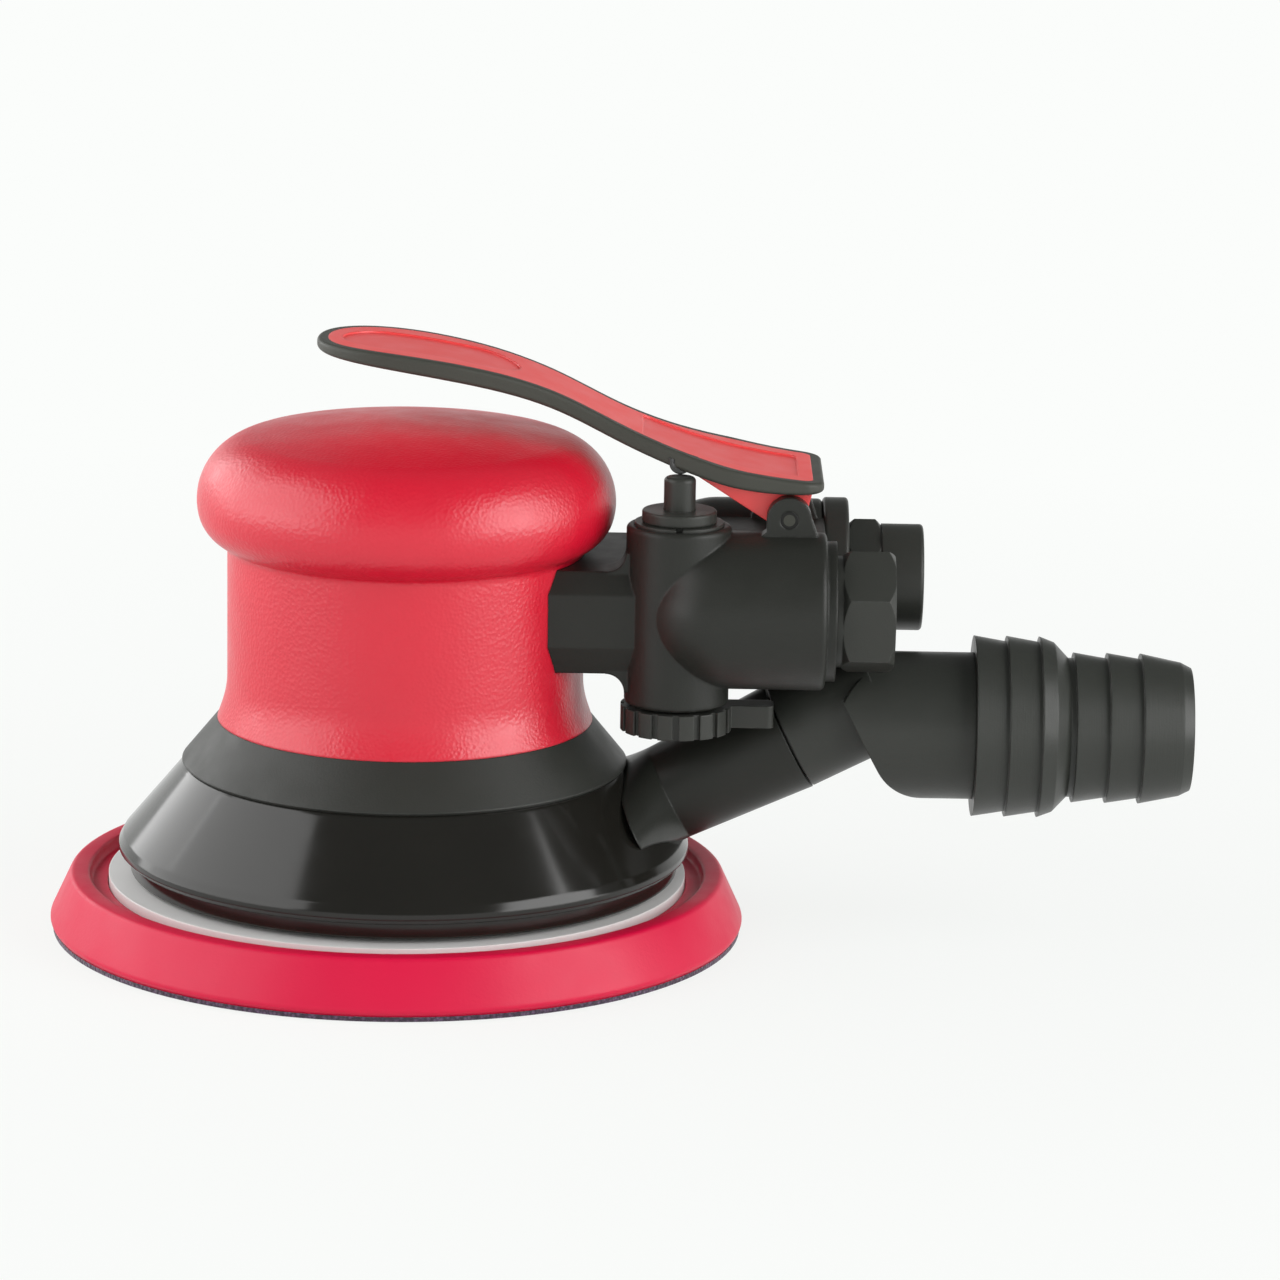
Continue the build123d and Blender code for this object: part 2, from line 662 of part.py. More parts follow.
def motor_housing():
    cup = rod(housing_r, housing_bottom, housing_top)
    cup = fillet(cup.edges().filter_by(GeomType.CIRCLE).sort_by(Axis.Z)[-1], HOUSING_TOP_ROUND)
    chamber = rod(CHAMBER_R, chamber_bottom, chamber_top, STEM_X, INLET_Y)
    chamber = fillet(chamber.edges().filter_by(GeomType.CIRCLE), BLOCK_ROUND)
    front_lug_y = HUB_FRONT_Y - LOOSE
    back_lug_y = HUB_BACK_Y + LOOSE
    body = cup + neck_shape(GRIP_WAIST_R - 2 * HOUSING_WALL - NECK_CHAMFER_TOP, STEM_X)
    body += block(STEM_X, BARREL_END_X, INLET_Y, EXHAUST_Y, arm_z - BRIDGE_BOTTOM, arm_z + BRIDGE_TOP)
    body += barrel(INLET_Y)
    body += barrel(EXHAUST_Y)
    body += chamber + neck_rib()
    body += rod_x(BARREL_STEP_R, BARREL_END_X, block_end_x, INLET_Y, arm_z)
    body += lug(front_lug_y - LUG_T, front_lug_y)
    body += lug(back_lug_y, back_lug_y + LUG_T)
    hub_room = HUB_R + LOOSE
    hub_x = PIVOT_X - 2 * hub_room
    body -= block(hub_x, block_end_x, front_lug_y, back_lug_y, pivot_z - hub_room, grip_top)
    body -= rod_y(PIN_R, front_lug_y - LUG_T, back_lug_y + LUG_T, PIVOT_X, pivot_z)
    body -= rod(housing_bore_r, housing_bottom, stack_top)
    body -= rod(HOUSING_SHOULDER_R, stack_top, housing_cavity_top)
    bush_z = chamber_top - BUSH_L
    body -= rod(CHAMBER_BORE_R, chamber_bottom, chamber_top, STEM_X, INLET_Y)
    body -= rod(BUSH_R, bush_z, chamber_top, STEM_X, INLET_Y)
    body -= rod(BUSH_RING_R, chamber_top - BUSH_RING_T / 2, chamber_top, STEM_X, INLET_Y)
    ring_z = chamber_bottom + SPOOL_RING_T
    groove_r = CHAMBER_BORE_R + SPOOL_RING_DEPTH
    body -= rod(groove_r, ring_z, ring_z + SPOOL_RING_T, STEM_X, INLET_Y)
    body -= rod_x(INLET_BORE_R, SEAT_X, block_end_x, INLET_Y, arm_z)
    body -= rod_x(TRANSFER_R, STEM_X, SEAT_X, INLET_Y, arm_z)
    body -= rod_x(AIR_PORT_R, 0, STEM_X, -TRANSFER_Y, transfer_z)
    body -= rod_x(EXHAUST_PORT_R, 0, BARREL_START_X, TRANSFER_Y, transfer_z)
    return body - rod_x(EXHAUST_BORE_R, STEM_X, BARREL_END_X, EXHAUST_Y, arm_z)


def palm_grip():
    crease = grip_top - DOME_EDGE_DROP
    wide = grip_top - DOME_WIDE_DROP
    shoulder = grip_top - DOME_SHOULDER_DROP
    base = lock_top + GRIP_BASE_H
    flare = Spline((GRIP_BASE_R, lock_top), (GRIP_WAIST_R, base), tangents=[(-GRIP_FLARE, 1), (0, 1)])
    waist = Line((GRIP_WAIST_R, base), (GRIP_WAIST_R, crease))
    crown = TangentArc((0, grip_top), (DOME_SHOULDER_R, shoulder), tangent=(1, 0))
    brow = TangentArc((DOME_SHOULDER_R, shoulder), (GRIP_DOME_R, wide), tangent=crown % 1)
    under = TangentArc((GRIP_DOME_R, wide), (GRIP_WAIST_R, crease), tangent=brow % 1)
    inner_r = housing_r + SLIP
    inner_top = housing_top + SLIP
    foot = (GRIP_BASE_R, lock_top)
    inside = Polyline((0, grip_top), (0, inner_top), (inner_r, inner_top), (inner_r, lock_top), foot)
    grip = revolve(Plane.XZ * make_face([flare, waist, under, brow, crown, inside]), Axis.Z)
    rings = grip.edges().filter_by(GeomType.CIRCLE)
    fold = [edge for edge in rings if abs(edge.center().Z - crease) < SLIP]
    grip = fillet(fold, GRIP_ROUND)
    return grip - neck_shape(0, GRIP_DOME_R * 2, SLIP)


def lock_ring():
    outline = [
        (LOCK_BASE_R - LOCK_EDGE, lock_bottom),
        (LOCK_BASE_R, lock_bottom + LOCK_EDGE),
        (LOCK_TOP_R, lock_top),
        (housing_r + SLIP, lock_top),
        (housing_r + SLIP, housing_bottom),
        (CYLINDER_R, housing_bottom),
        (CYLINDER_R, stack_bottom),
        (CYLINDER_R - LOCK_SLEEVE_WALL, stack_bottom),
        (CYLINDER_R - LOCK_SLEEVE_WALL, lock_bottom),
        (SPIGOT_R - SPIGOT_WALL, lock_bottom),
        (SPIGOT_R - SPIGOT_WALL, lock_bottom - SHROUD_WALL - 2 * RETAINER_T),
        (SPIGOT_R, lock_bottom - SHROUD_WALL - 2 * RETAINER_T),
        (SPIGOT_R, lock_bottom - SHROUD_WALL - RETAINER_T),
        (SPIGOT_R - RETAINER_DEPTH, lock_bottom - SHROUD_WALL - RETAINER_T),
        (SPIGOT_R - RETAINER_DEPTH, lock_bottom - SHROUD_WALL),
        (SPIGOT_R, lock_bottom - SHROUD_WALL),
        (SPIGOT_R, lock_bottom),
    ]
    return spun(outline)


def shroud_retaining_ring():
    z0 = lock_bottom - SHROUD_WALL - RETAINER_T
    inner = SPIGOT_R - RETAINER_DEPTH
    ring = tube(inner + RETAINER_W, inner, z0, z0 + RETAINER_T)
    return ring - block(-SPIGOT_R * 2, 0, -RETAINER_W, RETAINER_W, z0, z0 + RETAINER_T)


# Vacuum shroud and its outlet
def shroud_outline(inner):
    edge = 0.5 * SHROUD_WALL
    skin = [
        (SHROUD_LIP_R, shroud_lip_bottom),
        (SHROUD_LIP_R, shroud_edge_z - 1.2 * SHROUD_WALL),
        (SHROUD_R - edge, shroud_edge_z - 1.2 * SHROUD_WALL),
        (SHROUD_R, shroud_edge_z - 0.7 * SHROUD_WALL),
        (SHROUD_R, shroud_edge_z - 0.2 * SHROUD_WALL),
        (SHROUD_R - 0.8 * edge, shroud_edge_z + edge),
        (LOCK_BASE_R, lock_bottom - LOCK_EDGE),
        (LOCK_BASE_R - LOCK_EDGE, lock_bottom),
    ]
    return skin + inner


def vacuum_shroud():
    lip_r = SHROUD_LIP_R - SHROUD_LIP_W
    inner = [
        (SPIGOT_R + SLIP, lock_bottom),
        (SPIGOT_R + SLIP, lock_bottom - SHROUD_WALL),
        (LOCK_BASE_R - SHROUD_WALL, lock_bottom - SHROUD_WALL),
        (lip_r, shroud_edge_z - SHROUD_WALL / 2),
        (lip_r, shroud_lip_bottom),
    ]
    return spun(shroud_outline(inner)) - outlet_duct(OUTLET_WALL)


def brake_seal():
    outer = SHROUD_LIP_R - SHROUD_LIP_W
    z0 = plate_top + SEAL_GAP
    return tube(outer, outer - SEAL_W, z0, z0 + SEAL_H)


def outlet_duct(wall):
    # Funnel from a wide root to a round neck, then a cone to the swivel seam
    root = tilted(OUTLET_ROOT_BACK) * Ellipse(OUTLET_ROOT_HALF_W - wall, OUTLET_ROOT_HALF_H - wall)
    neck = tilted(OUTLET_NECK_BACK) * Circle(OUTLET_NECK_R - wall)
    end = tilted(0) * Circle(OUTLET_R - wall)
    return loft([root, neck]) + loft([neck, end], ruled=True)


def vacuum_outlet():
    solid_shroud = spun(shroud_outline([(0, lock_bottom), (0, shroud_lip_bottom)]))
    solid_ring = rod(LOCK_BASE_R, lock_bottom, lock_top)
    body = outlet_duct(0) - solid_shroud - solid_ring
    return body - outlet_duct(OUTLET_WALL) - tilted_rod(SWIVEL_BORE_R, SWIVEL_SOCKET_L, 0)


# Swivel elbow and hose nozzle
def elbow_shape():
    # Level tube cut square to the outlet at its left, with a round heel below
    round_r = ELBOW_R + SLIP
    reach = ELBOW_FACE_FORWARD + round_r + (SEAM_Z - ELBOW_Z) * math.sin(tilt)
    heel_x = SEAM_X + reach / math.cos(tilt)

    def heel(angle):
        return (heel_x - round_r * math.cos(angle), ELBOW_Z - round_r * math.sin(angle))

    start = heel(tilt)
    bottom = heel(math.pi / 2)
    top = ELBOW_Z + round_r
    slope = (-math.sin(tilt), math.cos(tilt))
    brow_z = ELBOW_Z + ELBOW_BROW_RISE
    brow = (start[0] + slope[0] * (brow_z - start[1]) / slope[1], brow_z)
    brow_end = (brow[0] + ELBOW_BROW_L, top)
    sides = [
        TangentArc(brow_end, brow, tangent=(-1, 0)),
        Line(brow, start),
        ThreePointArc(start, heel(tilt / 2 + math.pi / 4), bottom),
        Polyline(bottom, (ELBOW_END_X, bottom[1]), (ELBOW_END_X, top), brow_end),
    ]
    keep = Pos(0, 2 * ELBOW_R, 0) * extrude(Plane.XZ * make_face(sides), 4 * ELBOW_R)
    return rod_x(ELBOW_R, SEAM_X - ELBOW_R, ELBOW_END_X, 0, ELBOW_Z) & keep


def swivel_elbow():
    body = elbow_shape()
    body += tilted_rod(SWIVEL_TUBE_R, -LOOSE, ELBOW_FACE_FORWARD + ELBOW_RUN_IN)
    spigot_r = SWIVEL_BORE_R - RUNNING
    body += tilted_rod(spigot_r, SWIVEL_SOCKET_L - LOOSE, ELBOW_FACE_FORWARD)
    bore_r = spigot_r - SWIVEL_SPIGOT_WALL
    bend = ELBOW_FACE_FORWARD + ELBOW_RUN_IN
    body -= tilted_rod(bore_r, SWIVEL_SOCKET_L, bend)
    body -= tilted(-bend).location * Sphere(bore_r)
    socket_x = ELBOW_END_X - NOZZLE_SPIGOT_L
    body -= rod_x(ELBOW_BORE_R, socket_x, ELBOW_END_X, 0, ELBOW_Z)
    body -= rod_x(NOZZLE_BORE_R, socket_x - ELBOW_RUN_IN, ELBOW_END_X, 0, ELBOW_Z)
    return body - tilted(SWIVEL_SOCKET_L / 2).location * o_ring_groove(spigot_r)


def swivel_o_ring():
    return tilted(SWIVEL_SOCKET_L / 2).location * o_ring(SWIVEL_BORE_R - RUNNING)


def nozzle_outline():
    big_x = ELBOW_END_X
    spigot_x = big_x - NOZZLE_SPIGOT_L
    outline = [(spigot_x, NOZZLE_BORE_R), (spigot_x, ELBOW_BORE_R), (big_x, ELBOW_BORE_R)]
    for k in range(BARBS):
        outline.append((big_x + k * BIG_BARB_PITCH, BIG_BARB_R))
        if k < BARBS - 1:
            outline.append((big_x + (k + 1) * BIG_BARB_PITCH, BIG_BARB_R - BARB_TAPER))
    cone_x = big_x + (BARBS - 1) * BIG_BARB_PITCH + NOZZLE_CONE_L
    small_x = cone_x + NOZZLE_LAND_L
    root_r = SMALL_BARB_R - BARB_TAPER
    outline += [(cone_x - NOZZLE_CONE_L / 2, BIG_BARB_R - BARB_TAPER), (cone_x, root_r), (small_x, root_r)]
    for k in range(BARBS):
        outline.append((small_x + k * SMALL_BARB_PITCH, SMALL_BARB_R))
        if k < BARBS - 1:
            outline.append((small_x + (k + 1) * SMALL_BARB_PITCH, root_r))
    tail_x = small_x + (BARBS - 1) * SMALL_BARB_PITCH + NOZZLE_TAIL_L
    tail_r = SMALL_BARB_R - NOZZLE_TAIL_TAPER
    outline += [(tail_x, tail_r), (tail_x + NOZZLE_LIP_L, tail_r - NOZZLE_LIP_L / 2)]
    outline.append((tail_x + NOZZLE_LIP_L, NOZZLE_BORE_R))
    return outline


def hose_nozzle():
    return spun_x(nozzle_outline(), 0, ELBOW_Z)


# Throttle valve
def valve_seat():
    ring = rod_x(INLET_BORE_R, SEAT_X, tip_disc_x, INLET_Y, arm_z)
    return ring - rod_x(SEAT_HOLE_R, SEAT_X, tip_disc_x, INLET_Y, arm_z)


def tip_valve():
    disc_x = tip_disc_x + SLIP
    disc_end = disc_x + TIP_DISC_T
    body = rod_x(TIP_DISC_R, disc_x, disc_end, INLET_Y, arm_z)
    body += rod_x(TIP_STEM_R, tip_disc_x - TIP_STEM_L, disc_x, INLET_Y, arm_z)
    return body + rod_x(TIP_BOSS_R, disc_end, disc_end + TIP_BOSS_L, INLET_Y, arm_z)


def valve_spring():
    # Coil from quarter turns, from the tip valve's disc to the inlet bushing
    x0 = tip_disc_x + SLIP + TIP_DISC_T + SPRING_WIRE_R + SLIP
    x1 = block_end_x - INLET_THREAD_L - SPRING_WIRE_R - SLIP
    steps = SPRING_TURNS * 8

    def point(k):
        turn = 2 * math.pi * k / 8
        y = INLET_Y + SPRING_R * math.cos(turn)
        z = arm_z + SPRING_R * math.sin(turn)
        return (x0 + (x1 - x0) * k / steps, y, z)

    arcs = [ThreePointArc(point(k), point(k + 1), point(k + 2)) for k in range(0, steps, 2)]
    path = Wire(arcs)
    section = Plane(origin=path @ 0, z_dir=path % 0) * Circle(SPRING_WIRE_R)
    return sweep(section, path=path)


def valve_stem():
    foot = arm_z + TIP_STEM_R + LOOSE
    collar_top = chamber_top - BUSH_L + BUSH_POCKET_L - STEM_LIFT
    collar_bottom = collar_top - STEM_COLLAR_H
    head = rod(STEM_R, collar_bottom, stem_top, STEM_X, INLET_Y)
    head = fillet(head.edges().filter_by(GeomType.CIRCLE).sort_by(Axis.Z)[-1], STEM_ROUND)
    head += rod(STEM_COLLAR_R, collar_bottom, collar_top, STEM_X, INLET_Y)
    return head + rod(STEM_FOOT_R, foot, collar_bottom, STEM_X, INLET_Y)


def stem_bushing():
    z0 = chamber_top - BUSH_L
    head_z = chamber_top + BUSH_RING_T / 2
    body = rod(BUSH_R, z0, chamber_top - BUSH_RING_T / 2, STEM_X, INLET_Y)
    body += rod(BUSH_R - O_RING_R, z0, head_z, STEM_X, INLET_Y)
    head = rod(BUSH_R, head_z, head_z + BUSH_HEAD_H, STEM_X, INLET_Y)
    body += fillet(head.edges().filter_by(GeomType.CIRCLE), BLOCK_ROUND / 2)
    body -= rod(STEM_R + RUNNING, z0, head_z + BUSH_HEAD_H, STEM_X, INLET_Y)
    body -= rod(STEM_COLLAR_R + SLIP, z0, z0 + BUSH_POCKET_L, STEM_X, INLET_Y)
    return body - Pos(STEM_X, INLET_Y, stem_ring_z) * o_ring_groove(BUSH_R)


def stem_o_ring():
    return Pos(STEM_X, INLET_Y, stem_ring_z) * o_ring(BUSH_R)


def stem_retaining_ring():
    z0 = chamber_top - BUSH_RING_T / 2
    ring = tube(BUSH_RING_R, BUSH_R - O_RING_R, z0, z0 + BUSH_RING_T, STEM_X, INLET_Y)
    half = BUSH_RING_SPLIT / 2
    return ring - block(STEM_X - half, STEM_X + half, INLET_Y - 2 * BUSH_R, INLET_Y, z0, z0 + BUSH_RING_T)


# Speed regulator
def speed_regulator():
    knob_top = chamber_bottom - LOOSE
    knob_bottom = knob_top - KNOB_H
    knob = rod(KNOB_R, knob_bottom, knob_top)
    groove = Box(2 * KNOB_GROOVE_DEPTH, KNOB_GROOVE_W, 2 * KNOB_H)
    grooves = ring_of(Pos(0, 0, knob_bottom) * groove, KNOB_GROOVES, KNOB_R)
    tab = block(0, TAB_REACH, -TAB_FRONT, TAB_BACK, knob_top - TAB_H, knob_top)
    tab = fillet(tab.edges().filter_by(Axis.Z).group_by(Axis.X)[-1], TAB_ROUND)
    spool_r = CHAMBER_BORE_R - RUNNING
    spool_top = arm_z - SPOOL_TOP
    body = knob - grooves + tab + rod(spool_r, knob_top, spool_top)
    body -= rod(spool_r - SPOOL_WALL, knob_top + SPOOL_FLOOR, spool_top)
    body -= block(-2 * CHAMBER_R, 0, -AIR_PORT_R, AIR_PORT_R, transfer_z - AIR_PORT_R, spool_top)
    ring_z = chamber_bottom + SPOOL_RING_T - SLIP
    inner = spool_r - SPOOL_RING_DEPTH - SLIP
    body -= tube(2 * spool_r, inner, ring_z, ring_z + SPOOL_RING_T + 2 * SLIP)
    body -= Pos(0, 0, spool_ring_z) * o_ring_groove(spool_r)
    return Pos(STEM_X, INLET_Y, 0) * body


def regulator_o_ring():
    return Pos(STEM_X, INLET_Y, spool_ring_z) * o_ring(CHAMBER_BORE_R - RUNNING)


def regulator_retaining_ring():
    z0 = chamber_bottom + SPOOL_RING_T
    outer = CHAMBER_BORE_R + SPOOL_RING_DEPTH
    inner = CHAMBER_BORE_R - SPOOL_RING_DEPTH
    ring = tube(outer, inner, z0, z0 + SPOOL_RING_T, STEM_X, INLET_Y)
    half = BUSH_RING_SPLIT / 2
    return ring - block(STEM_X, STEM_X + 2 * outer, INLET_Y - half, INLET_Y + half, z0, z0 + SPOOL_RING_T)


# Air fittings
def inlet_bushing():
    hex_x0 = block_end_x + INLET_NECK_L
    end = hex_x0 + INLET_HEX_L
    body = nut_x(INLET_HEX, hex_x0, end, INLET_Y, arm_z, INLET_HEX_TURN)
    body += rod_x(INLET_NECK_R, block_end_x, hex_x0, INLET_Y, arm_z)
    body += rod_x(INLET_BORE_R, block_end_x - INLET_THREAD_L, block_end_x, INLET_Y, arm_z)
    port_x = end - INLET_PORT_L
    body -= rod_x(INLET_PORT_R, port_x, end, INLET_Y, arm_z)
    body -= rod_x(SCREEN_R, port_x - SCREEN_GAP - SCREEN_T, port_x, INLET_Y, arm_z)
    return body - rod_x(INLET_LOWER_R, block_end_x - INLET_THREAD_L, end, INLET_Y, arm_z)


def inlet_screen():
    x1 = block_end_x + INLET_NECK_L + INLET_HEX_L - INLET_PORT_L - SCREEN_GAP
    disc = rod_x(SCREEN_R, x1 - SCREEN_T, x1, INLET_Y, arm_z)
    hole = rod_x(SCREEN_HOLE_R, x1 - SCREEN_T, x1, INLET_Y, arm_z)
    places = HexLocations(SCREEN_PITCH / math.sqrt(3), 5, 5)
    holes = []
    for place in places:
        spot = place.position
        if spot.length < INLET_LOWER_R - SCREEN_HOLE_R:
            holes.append(Pos(0, spot.X, spot.Y) * hole)
    return disc - holes


def exhaust_muffler():
    flange_x = BARREL_END_X
    hex_x0 = flange_x + MUFFLER_FLANGE_L
    end_x = hex_x0 + MUFFLER_HEX_L
    tip_x = end_x + MUFFLER_END_L
    flange = rod_x(MUFFLER_FLANGE_R, flange_x, hex_x0, EXHAUST_Y, arm_z)
    flange = fillet(flange.edges().filter_by(GeomType.CIRCLE), FITTING_ROUND)
    end = rod_x(MUFFLER_END_R, end_x, tip_x, EXHAUST_Y, arm_z)
    end = fillet(end.edges().filter_by(GeomType.CIRCLE).sort_by(Axis.X)[-1], FITTING_ROUND)
    body = flange + end + nut_x(MUFFLER_HEX, hex_x0, end_x, EXHAUST_Y, arm_z)
    body += rod_x(EXHAUST_BORE_R, flange_x - MUFFLER_THREAD_L, flange_x, EXHAUST_Y, arm_z)
    bore_r = EXHAUST_BORE_R - MUFFLER_WALL
    body -= rod_x(bore_r, flange_x - MUFFLER_THREAD_L, tip_x - MUFFLER_WALL, EXHAUST_Y, arm_z)
    vent = rod_x(MUFFLER_VENT_R, end_x, tip_x, 0, 0)
    spread = (bore_r + MUFFLER_VENT_R) / 2
    for k in range(MUFFLER_VENTS):
        angle = 2 * math.pi * k / MUFFLER_VENTS
        body -= Pos(0, EXHAUST_Y + spread * math.cos(angle), arm_z + spread * math.sin(angle)) * vent
    return body


def muffler_felt():
    bore_r = EXHAUST_BORE_R - MUFFLER_WALL
    x0 = BARREL_END_X
    x1 = BARREL_END_X + MUFFLER_FLANGE_L + MUFFLER_HEX_L + MUFFLER_END_L - MUFFLER_WALL
    sleeve = rod_x(bore_r, x0, x1, EXHAUST_Y, arm_z)
    return sleeve - rod_x(bore_r - FELT_WALL, x0, x1, EXHAUST_Y, arm_z)


# Throttle lever
def lever_line(shift=0.0, taper=0.0):
    # Line along the lever, an S from the tip down to the heel, thinner at both ends by the taper
    reach = LEVER_TIP_REACH
    rise = LEVER_TIP_RISE
    steps = [(-reach, rise), (-0.715 * reach, 0.92 * rise), (-0.49 * reach, 0.73 * rise)]
    steps += [(-0.36 * reach, 0.545 * rise), (-0.245 * reach, 0.407 * rise), (-0.105 * reach, 0.293 * rise)]
    steps.append((LEVER_END_REACH, LEVER_END_RISE))
    ends = (steps[0], steps[-1])
    return [(PIVOT_X + x, pivot_z + z + shift + (taper if (x, z) in ends else 0)) for x, z in steps]


def lever_sheet(upper, lower, taper=0.0):
    top = Spline(*lever_line(upper))
    bottom = Spline(*lever_line(lower, taper))
    tip = Line(top @ 0, bottom @ 0)
    heel = Line(top @ 1, bottom @ 1)
    face = Plane.XZ * make_face([top, heel, bottom, tip])
    return Pos(0, 2 * LEVER_PADDLE_HALF_W, 0) * extrude(face, 4 * LEVER_PADDLE_HALF_W)


def lever_plan(inset):
    # Plan outline: round paddle, narrow waist, wide heel
    tip_x = PIVOT_X - LEVER_TIP_REACH + inset
    end_x = PIVOT_X + LEVER_END_REACH - inset
    length = LEVER_TIP_REACH + LEVER_END_REACH
    paddle = (tip_x + 0.23 * length, LEVER_PADDLE_HALF_W - inset)
    waist = (tip_x + 0.6 * length, LEVER_WAIST_HALF_W - inset)
    heel = (tip_x + 0.79 * length, LEVER_HEEL_HALF_W - inset)
    corner = (end_x, LEVER_HEEL_HALF_W - 1 - inset)
    side = Spline((tip_x, 0), paddle, waist, heel, corner, tangents=[(0, 1), (1, -0.1)])
    face = make_face([side, mirror(side, Plane.XZ), Line(corner, (end_x, -corner[1]))])
    return fillet(face.vertices().group_by(Axis.X)[-1], LEVER_CORNER - inset)


def lever_prism(inset):
    return Pos(0, 0, arm_z) * extrude(lever_plan(inset), LEVER_TIP_RISE + PIVOT_RISE + LEVER_T)


def lever_shape():
    body = lever_sheet(0, -LEVER_T, LEVER_T - LEVER_END_T) & lever_prism(0)
    faces = body.faces().sort_by(lambda face: face.normal_at().Z)
    return fillet(faces[0].edges() + faces[-1].edges(), LEVER_EDGE)


def throttle_lever():
    core = lever_shape() & lever_prism(LEVER_RIM_W)
    hub = rod_y(HUB_R, HUB_FRONT_Y, HUB_BACK_Y, PIVOT_X, pivot_z)
    inside = LEVER_T / 2
    web = [
        (PIVOT_X - GUSSET_REACH, pivot_z + GUSSET_RISE),
        (PIVOT_X - 0.72 * HUB_R, pivot_z - 0.69 * HUB_R),
        (PIVOT_X + HUB_R, pivot_z),
        (PIVOT_X + LEVER_END_REACH - LEVER_RIM_W, pivot_z + LEVER_END_RISE - inside),
    ]
    gusset = Plane.XZ * make_face(Polyline(*web, close=True))
    body = core + Pos(0, HUB_BACK_Y, 0) * extrude(gusset, HUB_BACK_Y - HUB_FRONT_Y) + hub
    nose_z = stem_top + LOOSE + NOSE_R
    nose_y = INLET_Y + NOSE_L
    nose = rod_y(NOSE_R, INLET_Y, nose_y, STEM_X, nose_z)
    stalk = block(STEM_X - NOSE_R, STEM_X + NOSE_R, INLET_Y, nose_y, nose_z, pivot_z + LEVER_TIP_RISE)
    body += (nose + stalk) & lever_sheet(-LEVER_T / 2, -3 * LEVER_T)
    body -= rod_y(PIN_R + RUNNING, HUB_FRONT_Y, HUB_BACK_Y, PIVOT_X, pivot_z)
    return body - lever_panels() - lever_rim()


def lever_panels():
    layer = lever_sheet(LEVER_T, -LEVER_PANEL_DEPTH)
    margin = LEVER_RIM_W + LEVER_PANEL_MARGIN
    tip_x = PIVOT_X - LEVER_TIP_REACH
    end_x = PIVOT_X + LEVER_END_REACH
    paddle = Pos(tip_x + margin + PADDLE_PANEL_L / 2, 0) * SlotOverall(PADDLE_PANEL_L, PADDLE_PANEL_W)
    heel_w = 2 * (LEVER_WAIST_HALF_W - LEVER_RIM_W)
    heel = RectangleRounded(HEEL_PANEL_L, heel_w, HEEL_PANEL_CORNER)
    heel = Pos(end_x - margin - HEEL_PANEL_L / 2, 0) * heel
    return layer & (extrude(paddle, grip_top * 2) + extrude(heel, grip_top * 2))


def lever_rim():
    return lever_shape() - lever_prism(LEVER_RIM_W)


def lever_pin():
    y0 = HUB_FRONT_Y - LOOSE - LUG_T
    y1 = HUB_BACK_Y + LOOSE + LUG_T
    return rod_y(PIN_R, y0, y1, PIVOT_X, pivot_z)


# All pieces by name
def pieces():
    made = {}
    upper = bearing(SHAFT_UPPER_R, UPPER_BEARING_R, UPPER_BEARING_W, upper_bearing_z, 7)
    lower = bearing(SHAFT_LOWER_R, LOWER_BEARING_R, LOWER_BEARING_W, lower_bearing_z, 8)
    pair = []
    for k in range(SPINDLE_BEARINGS):
        z = spindle_bearing_z + k * SPINDLE_BEARING_W
        pair.append(bearing(SPINDLE_BEARING_BORE_R, SPINDLE_BEARING_R, SPINDLE_BEARING_W, z, 10, -ORBIT))
    for name, sets in (("upper", [upper]), ("lower", [lower]), ("spindle", pair)):
        made[f"{name}_bearing_outer"] = [one[0] for one in sets]
        made[f"{name}_bearing_inner"] = [one[1] for one in sets]
        made[f"{name}_bearing_balls"] = [solid for one in sets for solid in one[2]]
    for k, angle in enumerate(vane_angles):
        made[f"vane_{k + 1}"] = vane(angle)
    made["cylinder_dowel"] = dowel_shape(DOWEL_R)
    made["rotor_key"] = key_shape()
    makers = [
        hook_face, pad_foam, backing_plate, pad_stud, spindle, spindle_screw, spindle_snap_ring,
        shaft_balancer, shaft_snap_ring, rotor, motor_cylinder, lower_end_plate, upper_end_plate,
        motor_housing, palm_grip, lock_ring, shroud_retaining_ring, vacuum_shroud, brake_seal,
        vacuum_outlet, swivel_elbow, hose_nozzle, valve_seat, tip_valve, valve_spring, valve_stem,
        stem_bushing, stem_retaining_ring, speed_regulator, regulator_retaining_ring, inlet_bushing,
        inlet_screen, exhaust_muffler, muffler_felt, throttle_lever, lever_rim, lever_pin,
        stem_o_ring, regulator_o_ring, swivel_o_ring,
    ]
    for maker in makers:
        made[maker.__name__] = maker()
    return made


os.makedirs("parts", exist_ok=True)
for node, shape in pieces().items():
    solids = shape if isinstance(shape, list) else [shape]
    group = Compound(children=[solid for one in solids for solid in one.solids()])
    export_step(group, f"parts/{node}.step")
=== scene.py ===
import bpy
import bmesh
import json
import math
from mathutils import Matrix, Vector


